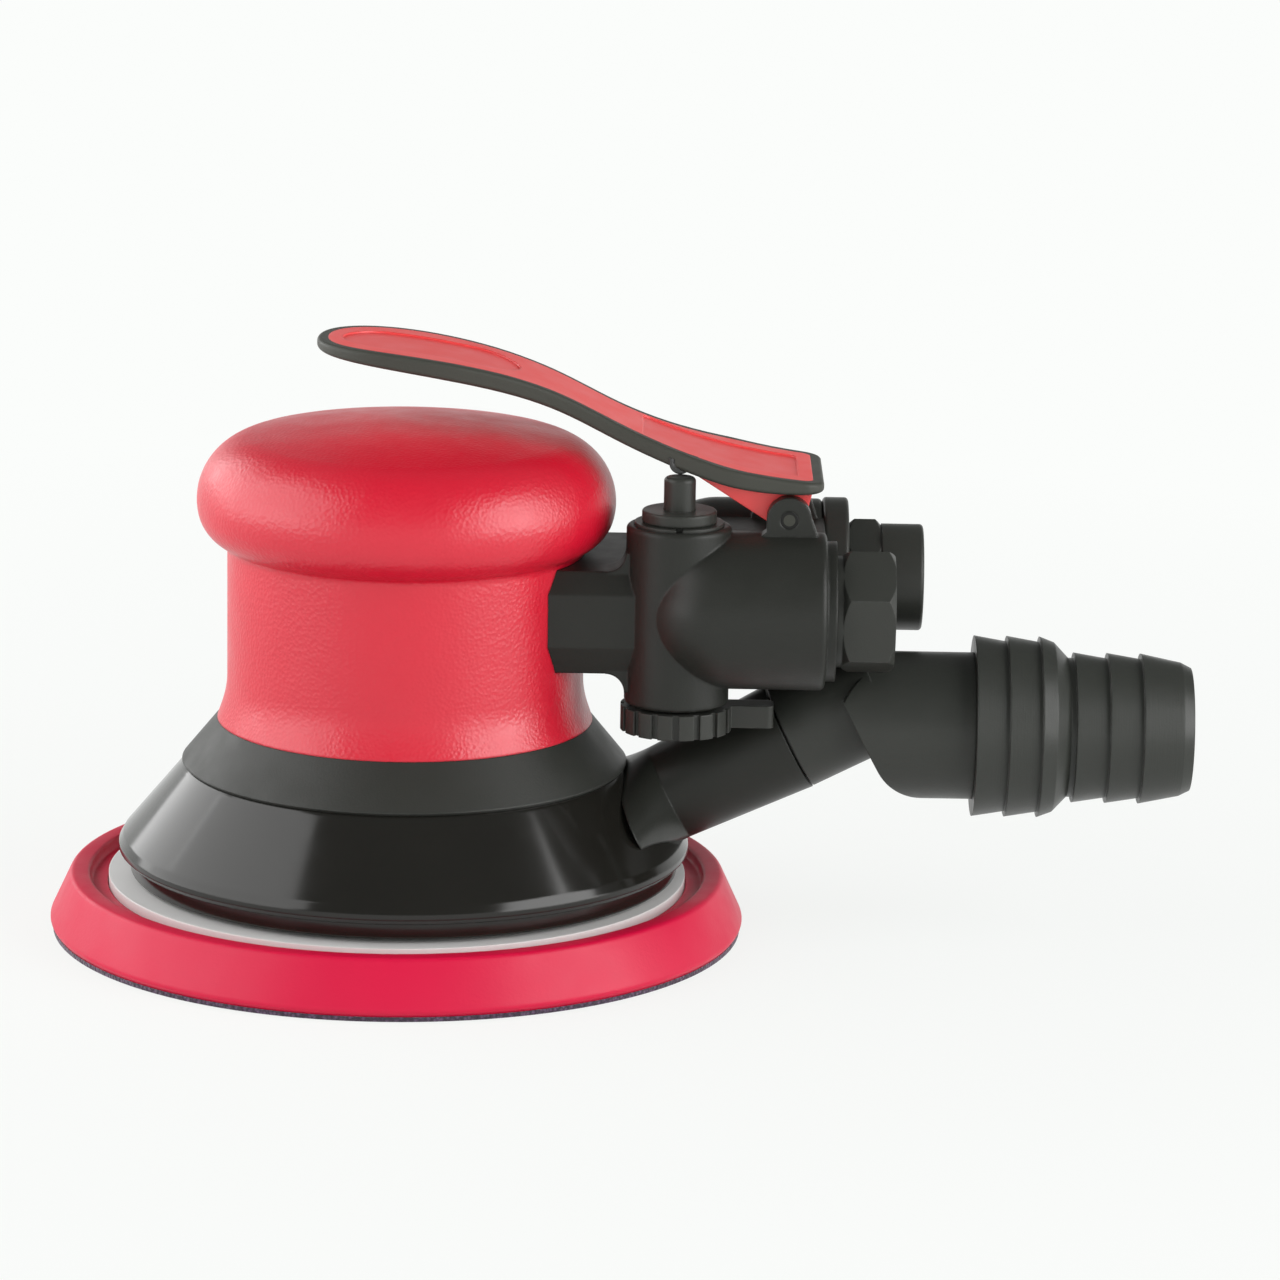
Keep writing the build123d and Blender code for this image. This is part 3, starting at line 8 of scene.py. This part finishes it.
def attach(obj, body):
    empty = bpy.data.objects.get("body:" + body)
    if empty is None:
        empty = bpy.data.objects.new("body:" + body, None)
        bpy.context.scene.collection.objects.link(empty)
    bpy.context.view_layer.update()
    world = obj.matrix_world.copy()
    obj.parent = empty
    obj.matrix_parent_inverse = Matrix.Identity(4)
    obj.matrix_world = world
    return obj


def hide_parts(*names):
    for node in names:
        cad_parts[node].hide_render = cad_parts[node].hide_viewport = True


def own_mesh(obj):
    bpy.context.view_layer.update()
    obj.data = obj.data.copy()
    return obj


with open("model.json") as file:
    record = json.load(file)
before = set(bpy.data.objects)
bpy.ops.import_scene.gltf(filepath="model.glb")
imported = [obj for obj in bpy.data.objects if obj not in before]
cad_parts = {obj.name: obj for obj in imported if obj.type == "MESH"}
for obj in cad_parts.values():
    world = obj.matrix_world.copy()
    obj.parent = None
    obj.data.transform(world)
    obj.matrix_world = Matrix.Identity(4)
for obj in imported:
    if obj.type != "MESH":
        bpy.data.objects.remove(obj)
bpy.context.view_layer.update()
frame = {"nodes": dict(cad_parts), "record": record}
nodes = frame["nodes"]
MM = 0.001


# Materials
PATCH_PER_METRE = 55.0
SCUFF_PER_METRE = 420.0
GLOSS_PER_METRE = 160.0
RING_PER_METRE = 140.0
LINES_PER_METRE = 90.0
TUFTS_PER_METRE = 1400.0
GRAIN_DEPTH = 0.25
RING_DEPTH = 0.1
LINE_DEPTH = 0.05
TUFT_DEPTH = 0.4
WEAR_AND_GLINT_LIFT = 0.25
LOOKS_UP = 0.2


class Shader:
    """Node tree of one procedural material, in the row frame's metres."""

    def __init__(self, name):
        self.material = bpy.data.materials.new(name)
        self.material.use_nodes = True
        self.tree = self.material.node_tree
        self.bsdf = self.tree.nodes["Principled BSDF"]
        self.coords = self.add("ShaderNodeTexCoord").outputs["Object"]

    def add(self, kind, **values):
        node = self.tree.nodes.new(kind)
        for key, value in values.items():
            setattr(node, key, value)
        return node

    def join(self, out, socket):
        self.tree.links.new(out, socket)

    def noise(self, per_metre, detail=3.0, rough=0.55, stretch=None):
        node = self.add("ShaderNodeTexNoise")
        node.inputs["Scale"].default_value = per_metre
        node.inputs["Detail"].default_value = detail
        node.inputs["Roughness"].default_value = rough
        self.join(self.placed(stretch), node.inputs["Vector"])
        return node.outputs["Fac"]

    def placed(self, stretch):
        if stretch is None:
            return self.coords
        mapping = self.add("ShaderNodeMapping")
        mapping.inputs["Scale"].default_value = stretch
        self.join(self.coords, mapping.inputs["Vector"])
        return mapping.outputs["Vector"]

    def cells(self, per_metre, smooth=0.4):
        node = self.add("ShaderNodeTexVoronoi", feature="SMOOTH_F1")
        node.inputs["Scale"].default_value = per_metre
        node.inputs["Smoothness"].default_value = smooth
        self.join(self.coords, node.inputs["Vector"])
        return node.outputs["Distance"]

    def spread(self, value, low, high, from_low=0.3, from_high=0.7):
        node = self.add("ShaderNodeMapRange")
        node.inputs["From Min"].default_value = from_low
        node.inputs["From Max"].default_value = from_high
        node.inputs["To Min"].default_value = low
        node.inputs["To Max"].default_value = high
        self.join(value, node.inputs["Value"])
        return node.outputs["Result"]

    def mix(self, factor, first, second):
        node = self.add("ShaderNodeMix", data_type="RGBA")
        for value, socket in ((first, node.inputs[6]), (second, node.inputs[7])):
            if isinstance(value, tuple):
                socket.default_value = value
            else:
                self.join(value, socket)
        self.join(factor, node.inputs[0])
        return node.outputs[2]

    def bump(self, height, strength, distance, normal=None):
        node = self.add("ShaderNodeBump")
        node.inputs["Strength"].default_value = strength
        node.inputs["Distance"].default_value = distance
        self.join(height, node.inputs["Height"])
        if normal is not None:
            self.join(normal, node.inputs["Normal"])
        return node.outputs["Normal"]

    def soft_edge(self, radius):
        node = self.add("ShaderNodeBevel", samples=6)
        node.inputs["Radius"].default_value = radius
        return node.outputs["Normal"]

    # Edge mask for lightening, partly scuffing and partly a painted highlight on the edges
    def worn_and_glint_edge(self, soft, low=0.02, high=0.25):
        geometry = self.add("ShaderNodeNewGeometry")
        dot = self.add("ShaderNodeVectorMath", operation="DOT_PRODUCT")
        self.join(soft, dot.inputs[0])
        self.join(geometry.outputs["Normal"], dot.inputs[1])
        return self.spread(dot.outputs["Value"], 1.0, 0.0, 1.0 - high, 1.0 - low)

    def part(self, vector, axis):
        node = self.add("ShaderNodeSeparateXYZ")
        self.join(vector, node.inputs[0])
        return node.outputs[axis]

    def math(self, operation, first, second=None):
        node = self.add("ShaderNodeMath", operation=operation)
        for value, socket in ((first, node.inputs[0]), (second, node.inputs[1])):
            if isinstance(value, float):
                socket.default_value = value
            elif value is not None:
                self.join(value, socket)
        return node.outputs["Value"]

    def reach(self, first, second):
        """Length of the pair (first, second)."""
        squares = [self.math("MULTIPLY", value, value) for value in (first, second)]
        return self.math("SQRT", self.math("ADD", *squares))

    def slot_mask(self, centre_x, length, width, corner):
        """1 inside a rounded oblong that lies along X, on faces that look up."""
        dx = self.math("SUBTRACT", self.part(self.coords, "X"), centre_x * MM)
        dx = self.math("ABSOLUTE", dx)
        dy = self.math("ABSOLUTE", self.part(self.coords, "Y"))
        out_x = self.math("SUBTRACT", dx, (length / 2 - corner) * MM)
        out_y = self.math("SUBTRACT", dy, (width / 2 - corner) * MM)
        far = self.reach(self.math("MAXIMUM", out_x, 0.0), self.math("MAXIMUM", out_y, 0.0))
        up = self.part(self.add("ShaderNodeNewGeometry").outputs["Normal"], "Z")
        inside = self.math("LESS_THAN", far, corner * MM)
        return self.math("MULTIPLY", inside, self.math("GREATER_THAN", up, LOOKS_UP))

    def spot_mask(self, x, z, radius):
        """1 within a radius of an axis that runs along Y."""
        dx = self.math("SUBTRACT", self.part(self.coords, "X"), x * MM)
        dz = self.math("SUBTRACT", self.part(self.coords, "Z"), z * MM)
        return self.math("LESS_THAN", self.reach(dx, dz), radius * MM)

    def nub_shade_mask(self, x, z, radius, front_y, under_z):
        """1 on a round boss along Y where it stands in front of its sheet or hangs below it, where the
        lever nose's painted shade goes.
        """
        front = self.math("LESS_THAN", self.part(self.coords, "Y"), front_y * MM)
        under = self.math("LESS_THAN", self.part(self.coords, "Z"), under_z * MM)
        shown = self.math("MAXIMUM", front, under)
        return self.math("MULTIPLY", self.spot_mask(x, z, radius), shown)


def tone(colour, factor):
    return tuple(min(1.0, c * factor) for c in colour[:3]) + (1.0,)


def moulded(name, colour, rough, grain=0.0, grain_per_metre=1500.0, edge=0.4, tint=0.07, wear_and_glint=0.0,
            specular=0.5, rough_spread=0.05, cells=False, panels=(), panel_shade_colour=None, spot=None,
            nub=None, spot_and_shade_colour=None, rings=None):
    """Moulded or machined surface: patchy tone and gloss, fine grain, soft edges lightened partly by
    scuffing and partly as painted highlight, and painted shade on given panels and a nose.
    """
    made = Shader(name)
    patch = made.noise(PATCH_PER_METRE, 4.0)
    base = made.mix(patch, tone(colour, 1 - tint), tone(colour, 1 + tint))
    # painted shade: a slightly darker red inside the lever's recessed panels, against the sheen on the
    # strips round them
    for panel in panels:
        base = made.mix(made.slot_mask(*panel), base, tone(panel_shade_colour, 1.0))
    if spot is not None:
        base = made.mix(made.spot_mask(*spot), base, tone(spot_and_shade_colour, 1.0))
    # painted shade: near-black on the lever's nose where it juts forward and hangs below
    if nub is not None:
        base = made.mix(made.nub_shade_mask(*nub), base, tone(spot_and_shade_colour, 1.0))
    normal = made.soft_edge(edge * MM)
    # lighter edges: partly scuffing, partly painted highlight
    if wear_and_glint > 0:
        scuff = made.spread(made.noise(SCUFF_PER_METRE, 5.0), 0.0, wear_and_glint, 0.4, 0.65)
        worn_and_glint = made.math("MULTIPLY", made.worn_and_glint_edge(normal), scuff)
        base = made.mix(worn_and_glint, base, tone([c + WEAR_AND_GLINT_LIFT for c in colour], 1.0))
    made.join(base, made.bsdf.inputs["Base Color"])
    gloss = made.spread(made.noise(GLOSS_PER_METRE, 3.0), rough - rough_spread, rough + rough_spread)
    made.join(gloss, made.bsdf.inputs["Roughness"])
    if grain > 0:
        height = made.cells(grain_per_metre) if cells else made.noise(grain_per_metre, 2.0)
        normal = made.bump(height, grain, GRAIN_DEPTH * MM, normal)
    if rings is not None:
        streaks = made.noise(RING_PER_METRE, 4.0, 0.7, rings)
        normal = made.bump(streaks, 0.25, RING_DEPTH * MM, normal)
    made.join(normal, made.bsdf.inputs["Normal"])
    made.bsdf.inputs["Specular IOR Level"].default_value = specular
    return made.material


def brushed(name, colour, rough, stretch=(1.0, 1.0, 30.0)):
    """Turned or ground metal, with fine rings along one direction."""
    made = Shader(name)
    lines = made.noise(LINES_PER_METRE, 5.0, 0.7, stretch)
    base = made.mix(lines, tone(colour, 0.85), tone(colour, 1.1))
    made.join(base, made.bsdf.inputs["Base Color"])
    made.join(made.spread(lines, rough - 0.06, rough + 0.08), made.bsdf.inputs["Roughness"])
    normal = made.soft_edge(0.2 * MM)
    normal = made.bump(lines, 0.05, LINE_DEPTH * MM, normal)
    made.join(normal, made.bsdf.inputs["Normal"])
    made.bsdf.inputs["Metallic"].default_value = 1.0
    return made.material


def pile(name, colour):
    """Short hook pile: dense small tufts, with painted shade deep between them and lighter tuft tops.
    """
    made = Shader(name)
    tufts = made.cells(TUFTS_PER_METRE, 0.2)
    depth = made.spread(tufts, 0.0, 1.0, 0.1, 0.6)
    # painted shade: darker deep in the pile, lighter on the tuft tops
    base = made.mix(depth, tone(colour, 1.5), tone(colour, 0.45))
    made.join(base, made.bsdf.inputs["Base Color"])
    made.bsdf.inputs["Roughness"].default_value = 0.9
    made.bsdf.inputs["Sheen Weight"].default_value = 0.3
    made.join(made.bump(tufts, 0.7, TUFT_DEPTH * MM), made.bsdf.inputs["Normal"])
    return made.material


GRIP_RED = (0.565, 0.004, 0.023)
FOAM_RED = (0.575, 0.002, 0.042)
LEVER_RED = (0.78, 0.047, 0.046)
PANEL_SHADE_RED = (0.75, 0.050, 0.052)
BLACK = (0.017, 0.018, 0.0152)
SATIN_BLACK = (0.022, 0.0235, 0.020)
SWIVEL_BLACK = (0.029, 0.031, 0.027)
GLOSS_BLACK = (0.0105, 0.010, 0.0083)
OXIDE_BLACK = (0.031, 0.0325, 0.0285)
SEAL_BLACK = (0.028, 0.028, 0.027)
RIM_GREY = (0.045, 0.046, 0.038)
PLATE_GREY = (0.74, 0.73, 0.72)
VANE_BROWN = (0.16, 0.10, 0.05)
# Recessed panels on the lever's top, painted a slightly darker red as shade against the sheen-lit
# strips
LEVER_SHADE_PANELS = [(4.3, 32.0, 17.0, 8.5), (56.5, 28.0, 19.2, 1.5)]
# Lever nose that gets painted shade; the same near-black also colours the pin end
LEVER_NOSE_SHADE = (49.3, 89.6, 3.3, -11.9, 88.3)
PIN_AND_NOSE_SHADE_BLACK = (0.012, 0.012, 0.011)
PIN_CORE = (68.9, 80.1, 1.05)
NOZZLE_RINGS = (30.0, 1.0, 1.0)

grip = moulded("grip_rubber", GRIP_RED, 0.36, grain=0.26, grain_per_metre=1500.0, edge=0.6,
               tint=0.05, specular=0.70, cells=True)
housing = moulded("housing_moulding", BLACK, 0.42, grain=0.10, grain_per_metre=2400.0, edge=0.7,
                  wear_and_glint=0.10, specular=0.3)
collar = moulded("collar_moulding", SATIN_BLACK, 0.46, grain=0.12, grain_per_metre=2200.0,
                 edge=0.5, wear_and_glint=0.08, specular=0.36)
shroud = moulded("shroud_gloss", GLOSS_BLACK, 0.13, edge=0.5, tint=0.15, specular=0.44,
                 rough_spread=0.02)
outlet = moulded("outlet_moulding", BLACK, 0.36, grain=0.06, grain_per_metre=2200.0, edge=0.5,
                 specular=0.26)
swivel = moulded("swivel_moulding", SWIVEL_BLACK, 0.38, grain=0.08, grain_per_metre=2400.0,
                 edge=0.5, wear_and_glint=0.10, specular=0.34)
nozzle = moulded("nozzle_moulding", SWIVEL_BLACK, 0.38, grain=0.06, grain_per_metre=2400.0,
                 edge=0.4, wear_and_glint=0.12, specular=0.36, rings=NOZZLE_RINGS)
fitting = moulded("black_oxide", OXIDE_BLACK, 0.40, grain=0.08, grain_per_metre=3000.0,
                  edge=0.4, wear_and_glint=0.2, specular=0.3)
lever = moulded("lever_coat_and_painted_shade", LEVER_RED, 0.42, grain=0.06, grain_per_metre=2600.0, edge=0.4,
                tint=0.05, specular=0.8, panels=LEVER_SHADE_PANELS, panel_shade_colour=PANEL_SHADE_RED,
                nub=LEVER_NOSE_SHADE, spot_and_shade_colour=PIN_AND_NOSE_SHADE_BLACK)
pin = moulded("pin_end", PIN_AND_NOSE_SHADE_BLACK, 0.5, edge=0.3, specular=0.2, spot=PIN_CORE,
              spot_and_shade_colour=RIM_GREY)
rim = moulded("lever_edge_rubber", RIM_GREY, 0.50, grain=0.10, grain_per_metre=2400.0, edge=0.3,
              specular=0.3)
foam = moulded("pad_urethane", FOAM_RED, 0.42, grain=0.10, grain_per_metre=1600.0, edge=0.5,
               tint=0.04, specular=0.34)
plate = moulded("plate_moulding", PLATE_GREY, 0.42, grain=0.08, grain_per_metre=1800.0,
                edge=0.3)
seal = moulded("seal_rubber", SEAL_BLACK, 0.6, grain=0.1, grain_per_metre=2500.0,
               edge=0.2)
vane = moulded("vane_laminate", VANE_BROWN, 0.55, grain=0.1, grain_per_metre=1800.0,
               edge=0.2, tint=0.2)
felt = pile("pressed_felt", (0.42, 0.39, 0.35))
hooks = pile("hook_pile", (0.075, 0.045, 0.085))
steel = brushed("turned_steel", (0.56, 0.56, 0.57), 0.30)
bearing = brushed("bearing_steel", (0.64, 0.64, 0.66), 0.20)
spring = brushed("spring_steel", (0.22, 0.22, 0.23), 0.35)
alloy = brushed("machined_alloy", (0.72, 0.73, 0.74), 0.32)
brass = brushed("machined_brass", (0.70, 0.53, 0.24), 0.30)

LOOKS = {
    "black_moulding": housing,
    "grip_red": grip,
    "lock_ring_black": collar,
    "shroud_gloss": shroud,
    "swivel_black": swivel,
    "fitting_black": fitting,
    "lever_red": lever,
    "lever_edge": rim,
    "foam_red": foam,
    "hook_fabric": hooks,
    "plate_grey": plate,
    "steel": steel,
    "bearing_steel": bearing,
    "spring_steel": spring,
    "end_plate_alloy": alloy,
    "screen_brass": brass,
    "seal_rubber": seal,
    "felt": felt,
    "vane_composite": vane,
}
OWN_LOOKS = {"vacuum_outlet": outlet, "hose_nozzle": nozzle, "lever_pin": pin}
node_slots = {part["node"]: part["material_slot"] for part in frame["record"]["subparts"]}
for name, obj in nodes.items():
    look = LOOKS[node_slots[name]]
    if name in OWN_LOOKS:
        look = OWN_LOOKS[name]
    obj.data.materials.clear()
    obj.data.materials.append(look)


# Foam pad: turned skin with eight dust holes
FOAM_SEGMENTS = 160
PAD_X = -1.2
HOOK_TOP = 0.82
BASE_R = 62.9
SIDE_ARC = (62.3, 2.0, 1.15)
CROWN_ARC = (59.0, 9.35, 1.05)
LIP_ARC = (56.7, 9.9, 0.5)
LEDGE = [(56.0, 8.7), (55.7, 8.42), (52.95, 8.4), (52.92, 7.25)]
HOLE_CIRCLE_R = 32.5
HOLE_R = 4.75
HOLE_COUNT = 8
HOLE_SEGMENTS = 40
DRILL_Z = 5.0
DRILL_L = 30.0
SHARP_ANGLE = 40.0


def arc(centre, start, end, steps):
    cx, cz, r = centre
    angles = [math.radians(start + (end - start) * k / steps) for k in range(steps + 1)]
    return [(cx + r * math.cos(a), cz + r * math.sin(a)) for a in angles]


def foam_outline():
    side = [(BASE_R, HOOK_TOP)] + arc(SIDE_ARC, -60, 22, 6)
    crown = arc(CROWN_ARC, 24, 90, 6) + arc(LIP_ARC, 90, 180, 4)
    return side + crown + LEDGE


def turned(points, segments):
    shape = bmesh.new()
    rings = []
    for r, z in points:
        ring = []
        for k in range(segments):
            a = 2 * math.pi * k / segments
            place = Vector((PAD_X + r * math.cos(a), r * math.sin(a), z)) * MM
            ring.append(shape.verts.new(place))
        rings.append(ring)
    for low, high in zip(rings, rings[1:]):
        for k in range(segments):
            n = (k + 1) % segments
            shape.faces.new((low[k], low[n], high[n], high[k]))
    shape.faces.new(list(reversed(rings[0])))
    shape.faces.new(rings[-1])
    bmesh.ops.recalc_face_normals(shape, faces=shape.faces)
    mesh = bpy.data.meshes.new("foam_pad")
    shape.to_mesh(mesh)
    shape.free()
    return mesh


def drilled(obj, count, circle_r, hole_r):
    cutter = bmesh.new()
    for k in range(count):
        a = 2 * math.pi * k / count
        spot = Vector((PAD_X + circle_r * math.cos(a), circle_r * math.sin(a), DRILL_Z)) * MM
        bmesh.ops.create_cone(cutter, cap_ends=True, segments=HOLE_SEGMENTS,
                              radius1=hole_r * MM, radius2=hole_r * MM,
                              depth=DRILL_L * MM, matrix=Matrix.Translation(spot))
    mesh = bpy.data.meshes.new("drill")
    cutter.to_mesh(mesh)
    cutter.free()
    drill = bpy.data.objects.new("drill", mesh)
    bpy.context.scene.collection.objects.link(drill)
    cut = obj.modifiers.new("holes", "BOOLEAN")
    cut.operation = "DIFFERENCE"
    cut.object = drill
    bpy.context.view_layer.update()
    graph = bpy.context.evaluated_depsgraph_get()
    done = bpy.data.meshes.new_from_object(obj.evaluated_get(graph))
    obj.modifiers.clear()
    obj.data = done
    bpy.data.objects.remove(drill)


pad = bpy.data.objects.new("foam_pad", turned(foam_outline(), FOAM_SEGMENTS))
bpy.context.scene.collection.objects.link(pad)
drilled(pad, HOLE_COUNT, HOLE_CIRCLE_R, HOLE_R)
for face in pad.data.polygons:
    face.use_smooth = True
pad.data.set_sharp_from_angle(angle=math.radians(SHARP_ANGLE))
pad.data.materials.clear()
pad.data.materials.append(foam)
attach(pad, "pad")
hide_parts("pad_foam")


# Valve spring: a copy of the spring's mesh, carried with the housing
coil = bpy.data.objects.new("valve_coil", nodes["valve_spring"].data.copy())
bpy.context.scene.collection.objects.link(coil)
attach(coil, "housing")
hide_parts("valve_spring")
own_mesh(coil)


# Stage, lights and camera
WHITE = (0.965, 0.98, 0.965, 1.0)
FLOOR_GREY = (0.80, 0.81, 0.80, 1.0)
FLOOR_Z = -0.0002
FLOOR_SIZE = 12.0
NEAR_SHARE = 0.85
NEAR_R = 0.15
FAR_R = 0.45


def seen_rays(tree):
    """1 for the rays that see the background directly, mirrored or through glass."""
    path = tree.nodes.new("ShaderNodeLightPath")
    total = path.outputs["Is Camera Ray"]
    for kind in ("Is Glossy Ray", "Is Transmission Ray"):
        node = tree.nodes.new("ShaderNodeMath")
        node.operation = "MAXIMUM"
        tree.links.new(total, node.inputs[0])
        tree.links.new(path.outputs[kind], node.inputs[1])
        total = node.outputs["Value"]
    return total


def floor_look():
    """White sweep: keeps a faint shadow round the object and is plain white farther off."""
    made = Shader("studio_floor")
    made.bsdf.inputs["Base Color"].default_value = FLOOR_GREY
    made.bsdf.inputs["Roughness"].default_value = 0.8
    made.bsdf.inputs["Specular IOR Level"].default_value = 0.1
    far = made.add("ShaderNodeVectorMath", operation="LENGTH")
    made.join(made.coords, far.inputs[0])
    white = made.spread(far.outputs["Value"], NEAR_SHARE, 1.0, NEAR_R, FAR_R)
    share = made.math("MULTIPLY", white, seen_rays(made.tree))
    glow = made.add("ShaderNodeEmission")
    glow.inputs["Color"].default_value = WHITE
    blend = made.add("ShaderNodeMixShader")
    made.join(share, blend.inputs["Fac"])
    made.join(made.bsdf.outputs["BSDF"], blend.inputs[1])
    made.join(glow.outputs["Emission"], blend.inputs[2])
    surface = made.tree.nodes["Material Output"].inputs["Surface"]
    made.join(blend.outputs["Shader"], surface)
    return made.material


bpy.ops.mesh.primitive_plane_add(size=FLOOR_SIZE, location=(0, 0, FLOOR_Z))
floor = bpy.context.object
floor.name = "studio_floor"
floor.data.materials.append(floor_look())


# Name, place, target, size, watts and whether gloss mirrors it
LAMPS = [
    ("left_panel", (-0.85, -0.28, 0.72), (0.0, -0.28, 0.72), (1.4, 1.4), 15.2, True),
    ("right_panel", (0.85, -0.50, 0.47), (0.0, -0.50, 0.47), (0.95, 0.9), 12.0, True),
    ("left_edge", (-0.64, 0.58, 0.38), (0.0, 0.0, 0.05), (0.5, 0.45), 2.0, True),
    ("front_fill", (0.0, -1.3, 0.60), (0.0, 0.0, 0.05), (1.2, 0.6), 3.2, False),
    ("back_fill", (0.1, 1.0, 0.30), (0.1, 0.0, 0.10), (1.2, 0.5), 3.5, False),
]


def lamp(name, place, target, size, watts, mirrored):
    data = bpy.data.lights.new(name, "AREA")
    data.shape = "RECTANGLE"
    data.size, data.size_y = size
    data.energy = watts
    obj = bpy.data.objects.new(name, data)
    obj.location = place
    aim = Vector(target) - Vector(place)
    obj.rotation_euler = aim.to_track_quat("-Z", "Y").to_euler()
    obj.visible_camera = False
    obj.visible_glossy = mirrored
    bpy.context.scene.collection.objects.link(obj)


for row in LAMPS:
    lamp(*row)

# World: white round the horizon, greyer overhead
CEILING = (0.17, 0.175, 0.172, 1.0)
HORIZON_LOW = 0.12
HORIZON_HIGH = 0.32
world = bpy.data.worlds.new("studio")
bpy.context.scene.world = world
world.use_nodes = True
tree = world.node_tree
direction = tree.nodes.new("ShaderNodeTexCoord")
axes = tree.nodes.new("ShaderNodeSeparateXYZ")
rise = tree.nodes.new("ShaderNodeMapRange")
rise.inputs["From Min"].default_value = HORIZON_LOW
rise.inputs["From Max"].default_value = HORIZON_HIGH
sky = tree.nodes.new("ShaderNodeMix")
sky.data_type = "RGBA"
sky.inputs[6].default_value = WHITE
sky.inputs[7].default_value = CEILING
tree.links.new(direction.outputs["Generated"], axes.inputs[0])
tree.links.new(axes.outputs["Z"], rise.inputs["Value"])
tree.links.new(rise.outputs["Result"], sky.inputs[0])
tree.links.new(sky.outputs[2], tree.nodes["Background"].inputs["Color"])
tree.nodes["Background"].inputs["Strength"].default_value = 1.0

CAMERA_PLACE = (0.04264, -1.0, 0.2875)
CAMERA_PITCH = 13.14
CAMERA_ROLL = 1.0
SENSOR = 36.0
LENS = 158.7
view = bpy.data.cameras.new("photo_camera")
view.sensor_width = SENSOR
view.lens = LENS
view.clip_start = 0.01
camera = bpy.data.objects.new("photo_camera", view)
pitch = Matrix.Rotation(math.radians(90 - CAMERA_PITCH), 4, "X")
roll = Matrix.Rotation(math.radians(CAMERA_ROLL), 4, "Z")
camera.matrix_world = Matrix.Translation(CAMERA_PLACE) @ pitch @ roll
bpy.context.scene.collection.objects.link(camera)
bpy.context.scene.camera = camera
bpy.context.scene.view_settings.view_transform = "Standard"
